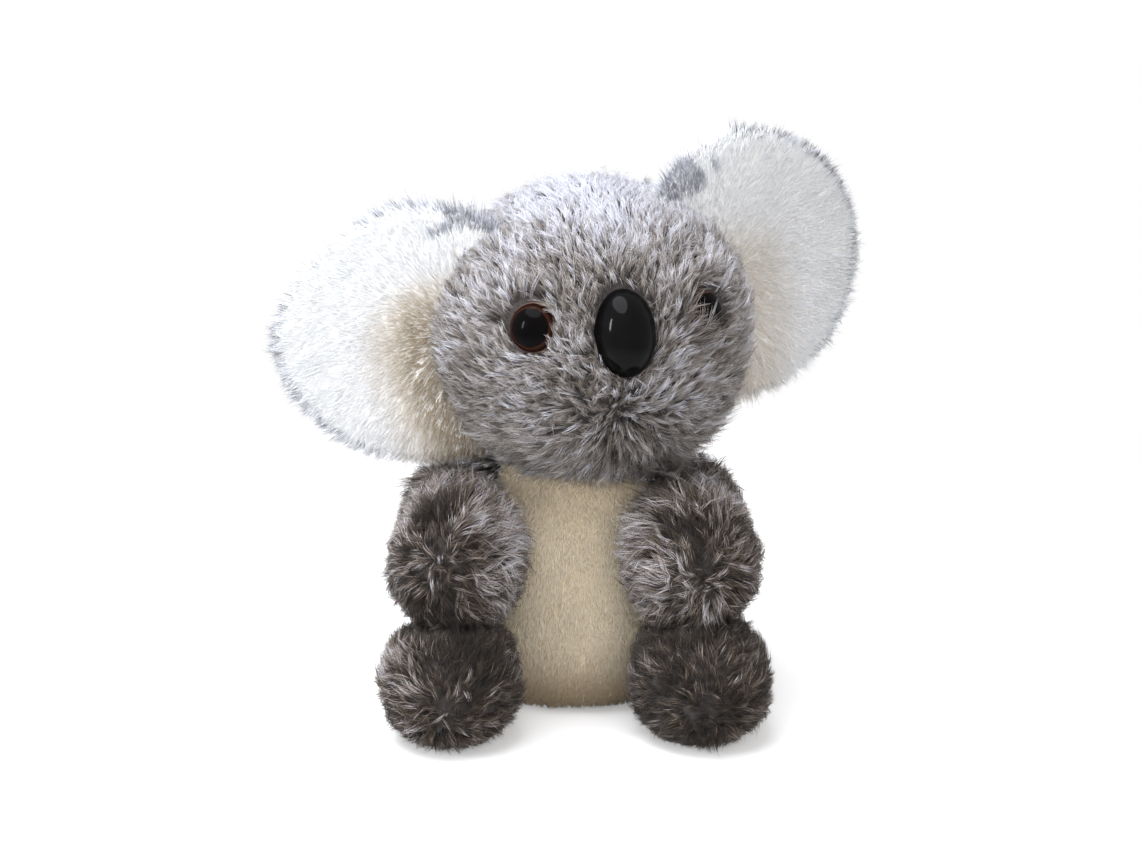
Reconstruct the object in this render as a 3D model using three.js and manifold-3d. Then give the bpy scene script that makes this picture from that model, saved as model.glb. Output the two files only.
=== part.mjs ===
// Seated plush koala: panels of pile fabric sewn over soft filling, with moulded eyes and nose.
// Millimetres, +Z up, the face towards -Y. The origin is the middle of the flat seat, on the floor.
// A cover's outside is the surface of its pile, and its inside is the back of the cloth.

import * as THREE from 'three';
import { ConvexGeometry } from 'three/addons/geometries/ConvexGeometry.js';
import { mergeVertices } from 'three/addons/utils/BufferGeometryUtils.js';
import Module from 'manifold-3d';

const wasm = await Module();
wasm.setup();

// Covers and the room between pieces
const COVER = 6;
const CLOTH = 1;
const LIMB_COVER = 5;
const BODY_COVER = 5;
const FIT = 0.3;
const SEAM = 0.3;
const SOCKET_GAP = 0.8;
const RUNNING_GAP = 0.6;
const OVERRUN = 30;

// Head: a ball a little wider than tall, set slightly aside, turned and tilted on the neck
const HEAD_WIDTH = 92;
const HEAD_HEIGHT = 88;
const HEAD_CENTRE_HEIGHT = 104.4;
const HEAD_FORWARD = 3;
const HEAD_ASIDE = 5.2;
const HEAD_TURN = THREE.MathUtils.degToRad(12);
const HEAD_TILT = THREE.MathUtils.degToRad(-2);
const HEAD_CLEARANCE = 1.4;
const CROWN_WIDTH = 30;
const NECK_GAP = 2.2;
const NECK_SEAT_ANGLE = THREE.MathUtils.degToRad(56);
const CHEEK_ANGLE = THREE.MathUtils.degToRad(88);

// Neck thread: the ring of stitches between the head and the body
const NECK_THREAD = 0.8;
const NECK_THREAD_SHARE = 0.42;
const NECK_THREAD_ANGLE = THREE.MathUtils.degToRad(28);

// Body: a pear form, drawn in towards the neck and leaning a little to the head's side
const BODY_WIDTH = 76;
const BODY_DEPTH = 66;
const BODY_HEIGHT = 84;
const BODY_FORWARD = 1;
const BODY_LEAN = 3;
const SEAT_CUT = 0.5;
const BODY_OUTLINE_SHARES = [
  [0, 0], [0.66, 0.002], [0.83, 0.03], [0.95, 0.12], [1, 0.25], [0.98, 0.4], [0.92, 0.56],
  [0.83, 0.7], [0.74, 0.81], [0.56, 0.92], [0.3, 0.98], [0, 1],
];

// Belly panel: from the chin down the front and on under the seat
const BELLY_WIDTH = 50;
const BELLY_TOP_WIDTH = 38;
const BELLY_SEAT_WIDTH = 40;
const BELLY_SEAT_LENGTH = 22;
const BELLY_SEAT_RISE = 9;
const BELLY_WIDEST_HEIGHT = 26;

// Bag of beads low in the seat
const BEADS_WIDTH = 38;
const BEADS_DEPTH = 28;
const BEADS_HEIGHT = 17;
const BEADS_BACKWARD = 2;

// Closing thread in the back seam
const CLOSING_THREAD = 1;
const CLOSING_DEPTH = 1.6;
const CLOSING_RANGE_SHARES = [0.42, 0.66];

// Arms: from the shoulder forward, over the feet
const ARM_ROOT = 14;
const ARM_PAW_WIDTH = 39;
const ARM_PAW_LENGTH = 40;
const ARM_PAW_HEIGHT = 42;
const SHOULDER_INSET = 4;
const SHOULDER_FORWARD = 4;
const SHOULDER_HEIGHT = 52.5;
const PAW_APART = 64;
const PAW_FORWARD = 36;
const PAW_HEIGHT = 46.5;
const ARM_OPENING = THREE.MathUtils.degToRad(50);

// Legs: from the hip forward, lying on the floor, each foot pressed flat there and under the paw
const LEG_ROOT = 13;
const FOOT_WIDTH = 41;
const FOOT_LENGTH = 44;
const FOOT_SWELL = 42;
const FOOT_THICKNESS = 32;
const HIP_INSET = 9;
const HIP_FORWARD = 16;
const HIP_HEIGHT = 16;
const FOOT_APART = 68;
const FOOT_FORWARD = 44;
const LEG_SPREAD = THREE.MathUtils.degToRad(28);
const PAW_REST_GAP = 0.4;
const SLEEVE_SHARE = 0.45;

// Ears: two pile panels sewn round a rim, swept back from the sides of the head
const EAR_REACH = 44;
const EAR_HEIGHT = 76;
const EAR_THICKNESS = 13;
const EAR_CENTRE = 4;
const EAR_CUP = 4;
const EAR_RAISE = 5.8;
const EAR_SEAM_DEPTH = 4;
const EAR_BACKWARD = 4;
const EAR_SWEEP = THREE.MathUtils.degToRad(27);
const EAR_LIFTS = { left: THREE.MathUtils.degToRad(-4.5), right: THREE.MathUtils.degToRad(10.5) };
const EAR_FOLD_FORWARD = THREE.MathUtils.degToRad(20);
const EAR_FOLD_BACK = THREE.MathUtils.degToRad(10);
const EAR_EDGE_SHARE = 0.72;
const EAR_SLANT_SHARES = { left: 0.24, right: 0.02 };

// Eyes: a dome on a stem through the cloth, locked by a washer behind it
const EYE_DIAMETER = 14;
const EYE_DOME = 6;
const EYE_AZIMUTH = THREE.MathUtils.degToRad(35);
const EYE_ELEVATION = THREE.MathUtils.degToRad(13);
const STEM_DIAMETER = 4;
const STEM_LENGTH = 12;
const WASHER_DIAMETER = 13;
const WASHER_THICKNESS = 1.2;

// Nose: an upright oval dome on a stem and washer
const NOSE_WIDTH = 16.5;
const NOSE_HEIGHT = 23.5;
const NOSE_DOME = 9.5;
const NOSE_ELEVATION = THREE.MathUtils.degToRad(10.5);

// Facet counts
const HEAD_SIDES = 24;
const HEAD_ROWS = 14;
const FILL_SIDES = 14;
const FILL_ROWS = 8;
const BODY_SIDES = 24;
const BODY_ROWS = 12;
const LIMB_SIDES = 14;
const LIMB_ROWS = 8;
const INNER_SIDES = 10;
const INNER_ROWS = 6;
const EAR_SIDES = 22;
const EAR_ROWS = 6;
const SMALL_SIDES = 12;
const DOME_ROWS = 4;
const THREAD_SIDES = 5;
const RING_STEPS = 30;
const SWING_STEPS = 3;
const OUTLINE_STEPS = 3;

const HEAD_RADIUS = HEAD_HEIGHT / 2;
const HEAD_CENTRE = new THREE.Vector3(HEAD_ASIDE, -HEAD_FORWARD, HEAD_CENTRE_HEIGHT);
const SIDES = [['left', -1], ['right', 1]];

const paint = (color, roughness) => new THREE.MeshStandardMaterial({ color, roughness, metalness: 0 });
const GREY_PILE = paint(0x857d7a, 0.95);
const WHITE_PILE = paint(0xf2efea, 0.95);
const CREAM_PILE = paint(0xd9ceb4, 0.95);
const BLACK_PLASTIC = paint(0x0d0b0c, 0.15);
const WASHER_PLASTIC = paint(0xe8e8e4, 0.5);
const FILLING = paint(0xf6f5f2, 1);
const BEAD_CLOTH = paint(0xd8d8dc, 0.9);
const THREAD = paint(0x5a5452, 0.8);

// From a closed three.js geometry to a solid, and back
function solidOf(geometry) {
  const bare = geometry.clone();
  bare.deleteAttribute('normal');
  bare.deleteAttribute('uv');
  const merged = mergeVertices(bare);
  const mesh = new wasm.Mesh({
    numProp: 3,
    vertProperties: new Float32Array(merged.attributes.position.array),
    triVerts: new Uint32Array(merged.index.array),
  });
  mesh.merge();
  return new wasm.Manifold(mesh);
}

function geometryOf(solid) {
  const mesh = solid.getMesh();
  const geometry = new THREE.BufferGeometry();
  geometry.setAttribute('position', new THREE.BufferAttribute(new Float32Array(mesh.vertProperties), 3));
  geometry.setIndex(new THREE.BufferAttribute(new Uint32Array(mesh.triVerts), 1));
  geometry.computeVertexNormals();
  return geometry;
}

const cutBy = (solid, tools) => tools.reduce((left, tool) => left.subtract(tool), solid);

// Moves each corner of a geometry by a rule
function bent(geometry, move) {
  const position = geometry.attributes.position;
  const point = new THREE.Vector3();
  for (let index = 0; index < position.count; index += 1) {
    point.fromBufferAttribute(position, index);
    move(point);
    position.setXYZ(index, point.x, point.y, point.z);
  }
  return geometry;
}

// A ball with its poles up and down
const ballGeometry = (radius, sides, rows) => (
  new THREE.SphereGeometry(radius, sides, rows).rotateX(Math.PI / 2));

const ballAt = (centre, radius, sides, rows) => (
  solidOf(ballGeometry(radius, sides, rows).translate(centre.x, centre.y, centre.z)));

function boxSolid(low, high) {
  const size = new THREE.Vector3().subVectors(high, low);
  const middle = new THREE.Vector3().addVectors(low, high).multiplyScalar(0.5);
  const box = new THREE.BoxGeometry(size.x, size.y, size.z);
  return solidOf(box.translate(middle.x, middle.y, middle.z));
}

// Everything between two levels
const slab = (low, high) => boxSolid(
  new THREE.Vector3(-HEAD_WIDTH - OVERRUN, -HEAD_WIDTH - OVERRUN, low),
  new THREE.Vector3(HEAD_WIDTH + OVERRUN, HEAD_WIDTH + OVERRUN, high),
);
const below = (level) => slab(-OVERRUN, level);
const above = (level) => slab(level, BODY_HEIGHT + OVERRUN);

// A solid turned about the upright axis through a point
function turned(solid, centre, angle) {
  const geometry = geometryOf(solid).translate(-centre.x, -centre.y, 0);
  return solidOf(geometry.rotateZ(angle).translate(centre.x, centre.y, 0));
}

// Where an obstacle lies, as a solid that swings from one angle to another sees it
function swept(obstacle, centre, from, to) {
  const places = [];
  for (let step = 0; step <= SWING_STEPS; step += 1) {
    places.push(turned(obstacle, centre, -(from + ((to - from) * step) / SWING_STEPS)));
  }
  return places;
}

// Splits a solid at the middle, leaving the seam between its halves
function halves(solid) {
  const reach = HEAD_WIDTH + OVERRUN;
  return SIDES.map(([name, side]) => {
    const near = (side * SEAM) / 2;
    const far = side * reach;
    const half = boxSolid(
      new THREE.Vector3(Math.min(near, far), -reach, -reach),
      new THREE.Vector3(Math.max(near, far), reach, reach),
    );
    return [name, solid.intersect(half)];
  });
}

function piece(name, solid, material) {
  const mesh = new THREE.Mesh(geometryOf(solid), material);
  mesh.name = name;
  return mesh;
}

// Places of the joints and the paws, for the left side (-1) or the right (1)
const placeOf = (aside, forward, height) => (
  (side) => new THREE.Vector3(side * aside, -forward, height));
const shoulder = placeOf(BODY_WIDTH / 2 - SHOULDER_INSET, SHOULDER_FORWARD, SHOULDER_HEIGHT);
const paw = placeOf(PAW_APART / 2, PAW_FORWARD, PAW_HEIGHT);
const hip = placeOf(BODY_WIDTH / 2 - HIP_INSET, HIP_FORWARD, HIP_HEIGHT);
const foot = placeOf(FOOT_APART / 2, FOOT_FORWARD, FOOT_THICKNESS / 2 - SEAT_CUT);
const earSeam = placeOf(HEAD_WIDTH / 2 - EAR_SEAM_DEPTH, -EAR_BACKWARD, EAR_RAISE);

// Body form: the outline turned about the upright axis, then made shallower and leaning
function bodyOutline(margin) {
  const base = -SEAT_CUT - margin;
  const height = BODY_HEIGHT + margin - base;
  return new THREE.SplineCurve(BODY_OUTLINE_SHARES.map(([across, up]) => (
    new THREE.Vector2(across * (BODY_WIDTH / 2 + margin), base + up * height))));
}

function bodyPlace(point, margin) {
  point.y = (point.y * (BODY_DEPTH + 2 * margin)) / (BODY_WIDTH + 2 * margin) - BODY_FORWARD;
  point.x += (BODY_LEAN * point.z) / BODY_HEIGHT;
}

function bodyForm(margin, sides) {
  const points = bodyOutline(margin).getSpacedPoints(BODY_ROWS);
  points[0].x = 0;
  points[BODY_ROWS].x = 0;
  const lathe = new THREE.LatheGeometry(points, sides).rotateX(Math.PI / 2);
  return solidOf(bent(lathe, (point) => bodyPlace(point, margin)));
}

// The hollows in the body that the head, the arms and the legs sit in
function socketTools() {
  const tools = [ballAt(HEAD_CENTRE, HEAD_RADIUS + NECK_GAP, HEAD_SIDES, HEAD_ROWS)];
  for (const [, side] of SIDES) {
    tools.push(ballAt(shoulder(side), ARM_ROOT + SOCKET_GAP, LIMB_SIDES, LIMB_ROWS));
    tools.push(ballAt(hip(side), LEG_ROOT + SOCKET_GAP, LIMB_SIDES, LIMB_ROWS));
  }
  return tools;
}

// Belly panel's cutting form: its outline from the front, and a strip on under the seat
function bellyTool(grow) {
  const half = BELLY_WIDTH / 2 + grow;
  const top = BELLY_TOP_WIDTH / 2 + grow;
  const seat = BELLY_SEAT_WIDTH / 2 + grow;
  const lower = BELLY_WIDEST_HEIGHT / 2;
  const upper = (BELLY_WIDEST_HEIGHT + BODY_HEIGHT) / 2;
  const front = new THREE.Shape();
  front.moveTo(-seat, -OVERRUN);
  front.lineTo(seat, -OVERRUN);
  front.lineTo(seat, 0);
  front.quadraticCurveTo(half, lower, half, BELLY_WIDEST_HEIGHT);
  front.quadraticCurveTo(half, upper, top, BODY_HEIGHT);
  front.lineTo(-top, BODY_HEIGHT);
  front.quadraticCurveTo(-half, upper, -half, BELLY_WIDEST_HEIGHT);
  front.quadraticCurveTo(-half, lower, -seat, 0);
  const bib = new THREE.ExtrudeGeometry(front, {
    depth: BODY_DEPTH, bevelEnabled: false, curveSegments: OUTLINE_STEPS, steps: 1,
  });
  const strip = boxSolid(
    new THREE.Vector3(-seat, -BODY_DEPTH / 4, -OVERRUN),
    new THREE.Vector3(seat, BELLY_SEAT_LENGTH + grow, BELLY_SEAT_RISE),
  );
  return solidOf(bib.rotateX(Math.PI / 2)).add(strip);
}

// The thread runs down the middle of the back, in the cloth's thickness
function closingThread(thickness) {
  const outline = bodyOutline(0);
  const [from, to] = CLOSING_RANGE_SHARES;
  const points = [];
  for (let step = 0; step <= OUTLINE_STEPS; step += 1) {
    const on = outline.getPointAt(from + ((to - from) * step) / OUTLINE_STEPS);
    const place = new THREE.Vector3(0, on.x - CLOSING_DEPTH, on.y);
    bodyPlace(place, 0);
    points.push(place.setX(0));
  }
  const section = new THREE.Shape();
  section.absarc(0, 0, thickness / 2, 0, 2 * Math.PI);
  return solidOf(new THREE.ExtrudeGeometry(section, {
    extrudePath: new THREE.CatmullRomCurve3(points),
    steps: 2 * OUTLINE_STEPS,
    curveSegments: THREAD_SIDES,
    bevelEnabled: false,
  }));
}

// The bag lies on the inside of the seat, flattened there by its weight
function beadBag(grow) {
  const base = BODY_COVER - SEAT_CUT + FIT;
  const form = ballGeometry(1, FILL_SIDES, LIMB_ROWS);
  form.scale(BEADS_WIDTH / 2 + grow, BEADS_DEPTH / 2 + grow, BEADS_HEIGHT / 2 + grow);
  form.translate(0, BEADS_BACKWARD, base + BEADS_HEIGHT / 4);
  return solidOf(form).subtract(below(base - 2 * grow));
}

function makeBody() {
  const body = new THREE.Group();
  const sockets = socketTools();
  const wall = bodyForm(0, BODY_SIDES).subtract(bodyForm(-BODY_COVER, FILL_SIDES));
  const cover = cutBy(wall, [below(0), ...sockets]);
  body.add(piece('belly_panel', cover.intersect(bellyTool(0)), CREAM_PILE));
  const back = cutBy(cover, [bellyTool(SEAM), closingThread(CLOSING_THREAD + 2 * FIT)]);
  for (const [name, half] of halves(back)) {
    body.add(piece(`body_cover_${name}`, half, GREY_PILE));
  }
  body.add(piece('closing_thread', closingThread(CLOSING_THREAD), THREAD));
  const filling = cutBy(bodyForm(-BODY_COVER - FIT, FILL_SIDES), [beadBag(FIT), ...sockets]);
  body.add(piece('body_filling', filling, FILLING));
  body.add(piece('bead_bag', beadBag(0), BEAD_CLOTH));
  return body;
}

// The ring of stitches lies between the head's ball and the hollow that it sits in
function makeNeckThread() {
  const reach = HEAD_RADIUS + NECK_GAP * NECK_THREAD_SHARE;
  const ring = new THREE.TorusGeometry(
    reach * Math.sin(NECK_THREAD_ANGLE), NECK_THREAD / 2, THREAD_SIDES, RING_STEPS);
  ring.translate(0, 0, -reach * Math.cos(NECK_THREAD_ANGLE));
  return piece('neck_thread', solidOf(ring.translate(...HEAD_CENTRE)), THREAD);
}

// Limbs: the rounded form stretched over balls of given sizes
const ballOf = (centre, width, length = width, height = width) => (
  { centre, size: new THREE.Vector3(width, length, height) });

function stretchedOver(balls, shrink) {
  const [sides, rows] = shrink > 0 ? [INNER_SIDES, INNER_ROWS] : [LIMB_SIDES, LIMB_ROWS];
  const points = [];
  for (const { centre, size } of balls) {
    const geometry = ballGeometry(1, sides, rows);
    geometry.scale(size.x / 2 - shrink, size.y / 2 - shrink, size.z / 2 - shrink);
    geometry.translate(centre.x, centre.y, centre.z);
    const position = geometry.attributes.position;
    for (let index = 0; index < position.count; index += 1) {
      points.push(new THREE.Vector3().fromBufferAttribute(position, index));
    }
  }
  return solidOf(new ConvexGeometry(points));
}

// A limb's space: clear of the body as it swings, except for its root ball, which turns in its hollow
function limbSpace(root, tip, swing, cuts, shrink) {
  const body = bodyForm(RUNNING_GAP + shrink, shrink > 0 ? FILL_SIDES : BODY_SIDES);
  const clear = cutBy(stretchedOver([root, tip], shrink), swept(body, root.centre, 0, swing));
  return cutBy(clear.add(stretchedOver([root], shrink)), cuts(shrink));
}

// A limb's cover, open at the root where it is sewn on, and its filling
function limbPieces(name, root, tip, swing, cuts) {
  const inward = new THREE.Vector3(-root.centre.x, -root.centre.y, 0).setLength(root.size.x / 2);
  const mouth = { centre: root.centre.clone().add(inward), size: root.size };
  const middle = { centre: root.centre.clone().lerp(tip.centre, SLEEVE_SHARE), size: root.size };
  const inside = (shrink) => (
    limbSpace(root, tip, swing, cuts, shrink).add(stretchedOver([mouth, root, middle], shrink)));
  const outer = limbSpace(root, tip, swing, cuts, 0);
  return [
    piece(`${name}_cover`, outer.subtract(inside(LIMB_COVER)), GREY_PILE),
    piece(`${name}_filling`, outer.intersect(inside(LIMB_COVER + FIT)), FILLING),
  ];
}

function makeArm(name, side) {
  const arm = new THREE.Group();
  const root = ballOf(shoulder(side), 2 * ARM_ROOT);
  const tip = ballOf(paw(side), ARM_PAW_WIDTH, ARM_PAW_LENGTH, ARM_PAW_HEIGHT);
  const rest = FOOT_THICKNESS - SEAT_CUT + PAW_REST_GAP;
  const swing = side * ARM_OPENING;
  const cuts = (margin) => {
    const head = ballAt(HEAD_CENTRE, HEAD_WIDTH / 2 + HEAD_CLEARANCE + margin, HEAD_SIDES, HEAD_ROWS);
    return [below(rest + margin), ...swept(head, root.centre, 0, swing)];
  };
  arm.add(...limbPieces(`arm_${name}`, root, tip, swing, cuts));
  return arm;
}

function makeLeg(name, side) {
  const leg = new THREE.Group();
  const root = ballOf(hip(side), 2 * LEG_ROOT);
  const tip = ballOf(foot(side), FOOT_WIDTH, FOOT_LENGTH, FOOT_SWELL);
  const cuts = (margin) => [below(0), above(FOOT_THICKNESS - SEAT_CUT - margin)];
  leg.add(...limbPieces(`leg_${name}`, root, tip, side * LEG_SPREAD, cuts));
  return leg;
}

// Head form: a true ball round the neck seat, where it turns, widening to the cheeks above that
function headStretch(point) {
  const widening = HEAD_WIDTH / HEAD_HEIGHT - 1;
  const fromNeck = Math.acos(-point.z / point.length());
  const share = THREE.MathUtils.smoothstep(fromNeck, NECK_SEAT_ANGLE, CHEEK_ANGLE);
  const aside = point.x / point.length();
  return 1 + share * widening * aside * aside;
}

const headForm = (radius, sides, rows) => (
  solidOf(bent(ballGeometry(radius, sides, rows), (point) => point.multiplyScalar(headStretch(point)))));

// Crown panel's cutting form: a band from the nose over the top and down the back of the head
function crownTool(grow) {
  const half = CROWN_WIDTH / 2 + grow;
  const level = HEAD_RADIUS * Math.sin(NOSE_ELEVATION) - grow;
  const far = HEAD_HEIGHT;
  const side = new THREE.Shape();
  side.moveTo(-far, level);
  side.lineTo(0, level);
  side.lineTo(far, -far - 2 * grow);
  side.lineTo(far, far);
  side.lineTo(-far, far);
  const band = new THREE.ExtrudeGeometry(side, { depth: 2 * half, bevelEnabled: false, steps: 1 });
  band.translate(0, 0, -half);
  return solidOf(band.rotateX(Math.PI / 2).rotateZ(Math.PI / 2));
}

// A matrix that stands a fastened piece on the head's cloth, its own +Z pointing out
const outward = (azimuth, elevation) => (
  new THREE.Vector3(0, -1, 0).applyEuler(new THREE.Euler(-elevation, 0, azimuth, 'ZYX')));

function onHead(azimuth, elevation, distance) {
  const out = outward(azimuth, elevation);
  const across = new THREE.Vector3(0, 0, 1).cross(out).normalize();
  const up = new THREE.Vector3().crossVectors(out, across);
  return new THREE.Matrix4().makeBasis(across, up, out).setPosition(out.multiplyScalar(distance));
}

function rod(radius, from, to) {
  const cylinder = new THREE.CylinderGeometry(radius, radius, to - from, SMALL_SIDES);
  return cylinder.rotateX(Math.PI / 2).translate(0, 0, (from + to) / 2);
}

// An oval dome with a flat back, on its stem
function domeOnStem(width, height, rise) {
  const points = [new THREE.Vector2(0, 0)];
  for (let row = 0; row <= DOME_ROWS; row += 1) {
    const angle = (row / DOME_ROWS) * (Math.PI / 2);
    points.push(new THREE.Vector2(Math.cos(angle), Math.sin(angle)));
  }
  points[points.length - 1].x = 0;
  const dome = new THREE.LatheGeometry(points, FILL_SIDES).rotateX(Math.PI / 2);
  dome.scale(width / 2, height / 2, rise);
  return solidOf(dome).add(solidOf(rod(STEM_DIAMETER / 2, -STEM_LENGTH, rise / 2)));
}

function washer() {
  const inner = STEM_DIAMETER / 2 + FIT;
  const outer = WASHER_DIAMETER / 2;
  const back = -WASHER_THICKNESS;
  const points = [[inner, back], [outer, back], [outer, 0], [inner, 0], [inner, back]]
    .map(([across, up]) => new THREE.Vector2(across, up));
  return new THREE.LatheGeometry(points, SMALL_SIDES).rotateX(Math.PI / 2);
}

const CLOTH_BACK = HEAD_RADIUS - COVER;
const CLOTH_FACETS = CLOTH_BACK * Math.cos(Math.PI / FILL_SIDES) * Math.cos(Math.PI / 2 / FILL_ROWS);
const WASHER_REACH = Math.asin(WASHER_DIAMETER / 2 / CLOTH_FACETS);

// How far a dome's flat back and a washer's face lie from the middle of the head
const domeSeat = ([, azimuth, elevation]) => (
  CLOTH_BACK * headStretch(outward(azimuth, elevation)) + CLOTH + FIT);

function washerFace([, azimuth, elevation]) {
  const rims = [azimuth - WASHER_REACH, azimuth + WASHER_REACH].map((rim) => outward(rim, elevation));
  const cloth = CLOTH_FACETS * Math.min(...rims.map(headStretch));
  return Math.sqrt(cloth ** 2 - (WASHER_DIAMETER / 2) ** 2) - FIT;
}

// The moulded pieces of the face: where each one is, and its size
const FACE = [
  ['eye_left', -EYE_AZIMUTH, EYE_ELEVATION, EYE_DIAMETER, EYE_DIAMETER, EYE_DOME],
  ['eye_right', EYE_AZIMUTH, EYE_ELEVATION, EYE_DIAMETER, EYE_DIAMETER, EYE_DOME],
  ['nose', 0, NOSE_ELEVATION, NOSE_WIDTH, NOSE_HEIGHT, NOSE_DOME],
];

const placed = (solid, matrix) => solidOf(geometryOf(solid).applyMatrix4(matrix));

// Openings for a moulded piece: one through the pile and the cloth, one in the filling
function coverOpening(part) {
  const [, azimuth, elevation, width, height] = part;
  const mouth = rod(1, -FIT, OVERRUN).scale(width / 2 + FIT, height / 2 + FIT, 1);
  const hole = rod(STEM_DIAMETER / 2 + FIT, -STEM_LENGTH, OVERRUN);
  return placed(solidOf(mouth).add(solidOf(hole)), onHead(azimuth, elevation, domeSeat(part)));
}

function fillingOpening(part) {
  const [, azimuth, elevation] = part;
  const depth = domeSeat(part) - washerFace(part);
  const pocket = rod(WASHER_DIAMETER / 2 + FIT, -depth - WASHER_THICKNESS - FIT, OVERRUN);
  const hole = rod(STEM_DIAMETER / 2 + FIT, -STEM_LENGTH - FIT, OVERRUN);
  return placed(solidOf(pocket).add(solidOf(hole)), onHead(azimuth, elevation, domeSeat(part)));
}

// One pile panel of an ear: domed on its outside, flat where it meets the other panel, cupped at the rim,
// and drawn in at its upper outer corner
function earPanel(side, facing, slantShare) {
  return bent(new THREE.SphereGeometry(1, EAR_SIDES, EAR_ROWS), (point) => {
    const slant = slantShare * Math.max(0, side * point.x) * Math.max(0, point.z);
    const rise = Math.max(0, facing * point.y) ** EAR_EDGE_SHARE * (EAR_THICKNESS / 2);
    const cup = EAR_CUP * (point.x ** 2 + point.z ** 2);
    point.x *= EAR_REACH * (1 - slant);
    point.z *= (EAR_HEIGHT / 2) * (1 - slant);
    point.y = facing * (SEAM / 2 + rise) - cup;
  });
}

// An ear, made level with the head's middle and then lifted round it to where it is sewn
function makeEar(name, side) {
  const ear = new THREE.Group();
  const seam = earSeam(side);
  const lift = -side * EAR_LIFTS[name];
  ear.rotation.y = lift;
  const level = headForm(HEAD_RADIUS + RUNNING_GAP, HEAD_SIDES, HEAD_ROWS);
  const head = solidOf(geometryOf(level).rotateY(-lift));
  const obstacles = swept(head, seam, -side * EAR_FOLD_FORWARD, side * EAR_FOLD_BACK);
  for (const [part, facing, material] of [['front', -1, WHITE_PILE], ['back', 1, GREY_PILE]]) {
    const flat = earPanel(side, facing, EAR_SLANT_SHARES[name]).translate(side * EAR_CENTRE, 0, 0);
    const swung = solidOf(flat.rotateZ(side * EAR_SWEEP).translate(seam.x, seam.y, seam.z));
    ear.add(piece(`ear_${name}_${part}`, cutBy(swung, obstacles), material));
  }
  return ear;
}

function makeHead() {
  const head = new THREE.Group();
  head.position.copy(HEAD_CENTRE);
  head.rotation.set(0, HEAD_TILT, HEAD_TURN, 'ZYX');
  const wall = headForm(HEAD_RADIUS, HEAD_SIDES, HEAD_ROWS)
    .subtract(headForm(CLOTH_BACK, FILL_SIDES, FILL_ROWS));
  const cover = cutBy(wall, FACE.map(coverOpening));
  head.add(piece('head_crown', cover.intersect(crownTool(0)), GREY_PILE));
  for (const [name, half] of halves(cover.subtract(crownTool(SEAM)))) {
    head.add(piece(`head_cheek_${name}`, half, GREY_PILE));
  }
  const filling = cutBy(headForm(CLOTH_BACK - FIT, FILL_SIDES, FILL_ROWS), FACE.map(fillingOpening));
  head.add(piece('head_filling', filling, FILLING));
  for (const part of FACE) {
    const [name, azimuth, elevation, width, height, rise] = part;
    const moulded = piece(name, domeOnStem(width, height, rise), BLACK_PLASTIC);
    moulded.applyMatrix4(onHead(azimuth, elevation, domeSeat(part)));
    const lock = piece(`${name}_washer`, solidOf(washer()), WASHER_PLASTIC);
    lock.applyMatrix4(onHead(azimuth, elevation, washerFace(part)));
    head.add(moulded, lock);
  }
  for (const [name, side] of SIDES) {
    head.add(makeEar(name, side));
  }
  return head;
}

const koala = new THREE.Group();
koala.add(makeBody(), makeNeckThread(), makeHead());
for (const [name, side] of SIDES) {
  koala.add(makeArm(name, side), makeLeg(name, side));
}

export default koala;
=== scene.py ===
"""Looks of the seated plush koala: cloth panels, their pile as strands, the moulded face, and a plain studio.

Lengths are in millimetres until a mesh is made, which is in metres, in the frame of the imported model.
"""

import math
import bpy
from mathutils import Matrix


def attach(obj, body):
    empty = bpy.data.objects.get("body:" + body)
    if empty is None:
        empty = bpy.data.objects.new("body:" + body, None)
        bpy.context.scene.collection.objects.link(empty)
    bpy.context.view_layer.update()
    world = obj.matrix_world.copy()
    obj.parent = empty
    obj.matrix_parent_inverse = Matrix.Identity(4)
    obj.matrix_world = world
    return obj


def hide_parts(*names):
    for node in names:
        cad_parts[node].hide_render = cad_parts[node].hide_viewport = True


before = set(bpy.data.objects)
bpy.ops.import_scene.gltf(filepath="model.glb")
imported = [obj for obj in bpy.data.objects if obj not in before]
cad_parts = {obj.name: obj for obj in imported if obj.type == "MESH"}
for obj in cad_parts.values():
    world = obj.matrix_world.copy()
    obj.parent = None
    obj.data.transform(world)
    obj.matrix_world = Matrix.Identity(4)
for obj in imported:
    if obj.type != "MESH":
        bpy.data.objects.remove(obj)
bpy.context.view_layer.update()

from types import SimpleNamespace

import bmesh
import bpy
import numpy as np
from mathutils import Matrix, Vector

MM = 0.001

# Head, as in the source
HEAD_CENTRE = np.array([5.2, -3.0, 104.4])
HEAD_TURN = math.radians(12)
HEAD_TILT = math.radians(-2)
HEAD_RADIUS = 44.0
HEAD_WIDENING = 92 / 88 - 1
NECK_SEAT_ANGLE = math.radians(56)
CHEEK_ANGLE = math.radians(88)
CROWN_HALF = 15.0
NOSE_ELEVATION = math.radians(10.5)
HEAD_CLOTH = 41.4
NECK_SEAT = 42.9
NECK_CUT = -37.0
CROWN_LEVEL = HEAD_RADIUS * math.sin(NOSE_ELEVATION)
CROWN_SLOPE = (2 * HEAD_RADIUS + CROWN_LEVEL) / (2 * HEAD_RADIUS)

# Body
BODY_WIDTH = 76.0
BODY_DEPTH = 66.0
BODY_HEIGHT = 84.0
BODY_FORWARD = 1.0
BODY_LEAN = 3.0
SEAT_CUT = 0.5
BODY_OUTLINE = [
    (0, 0), (.66, .002), (.83, .03), (.95, .12), (1, .25), (.98, .4), (.92, .56),
    (.83, .7), (.74, .81), (.56, .92), (.3, .98), (0, 1),
]
BELLY_HALF = 25.0
BELLY_TOP_HALF = 19.0
BELLY_SEAT_HALF = 20.0
BELLY_WIDEST_HEIGHT = 26.0

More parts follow.
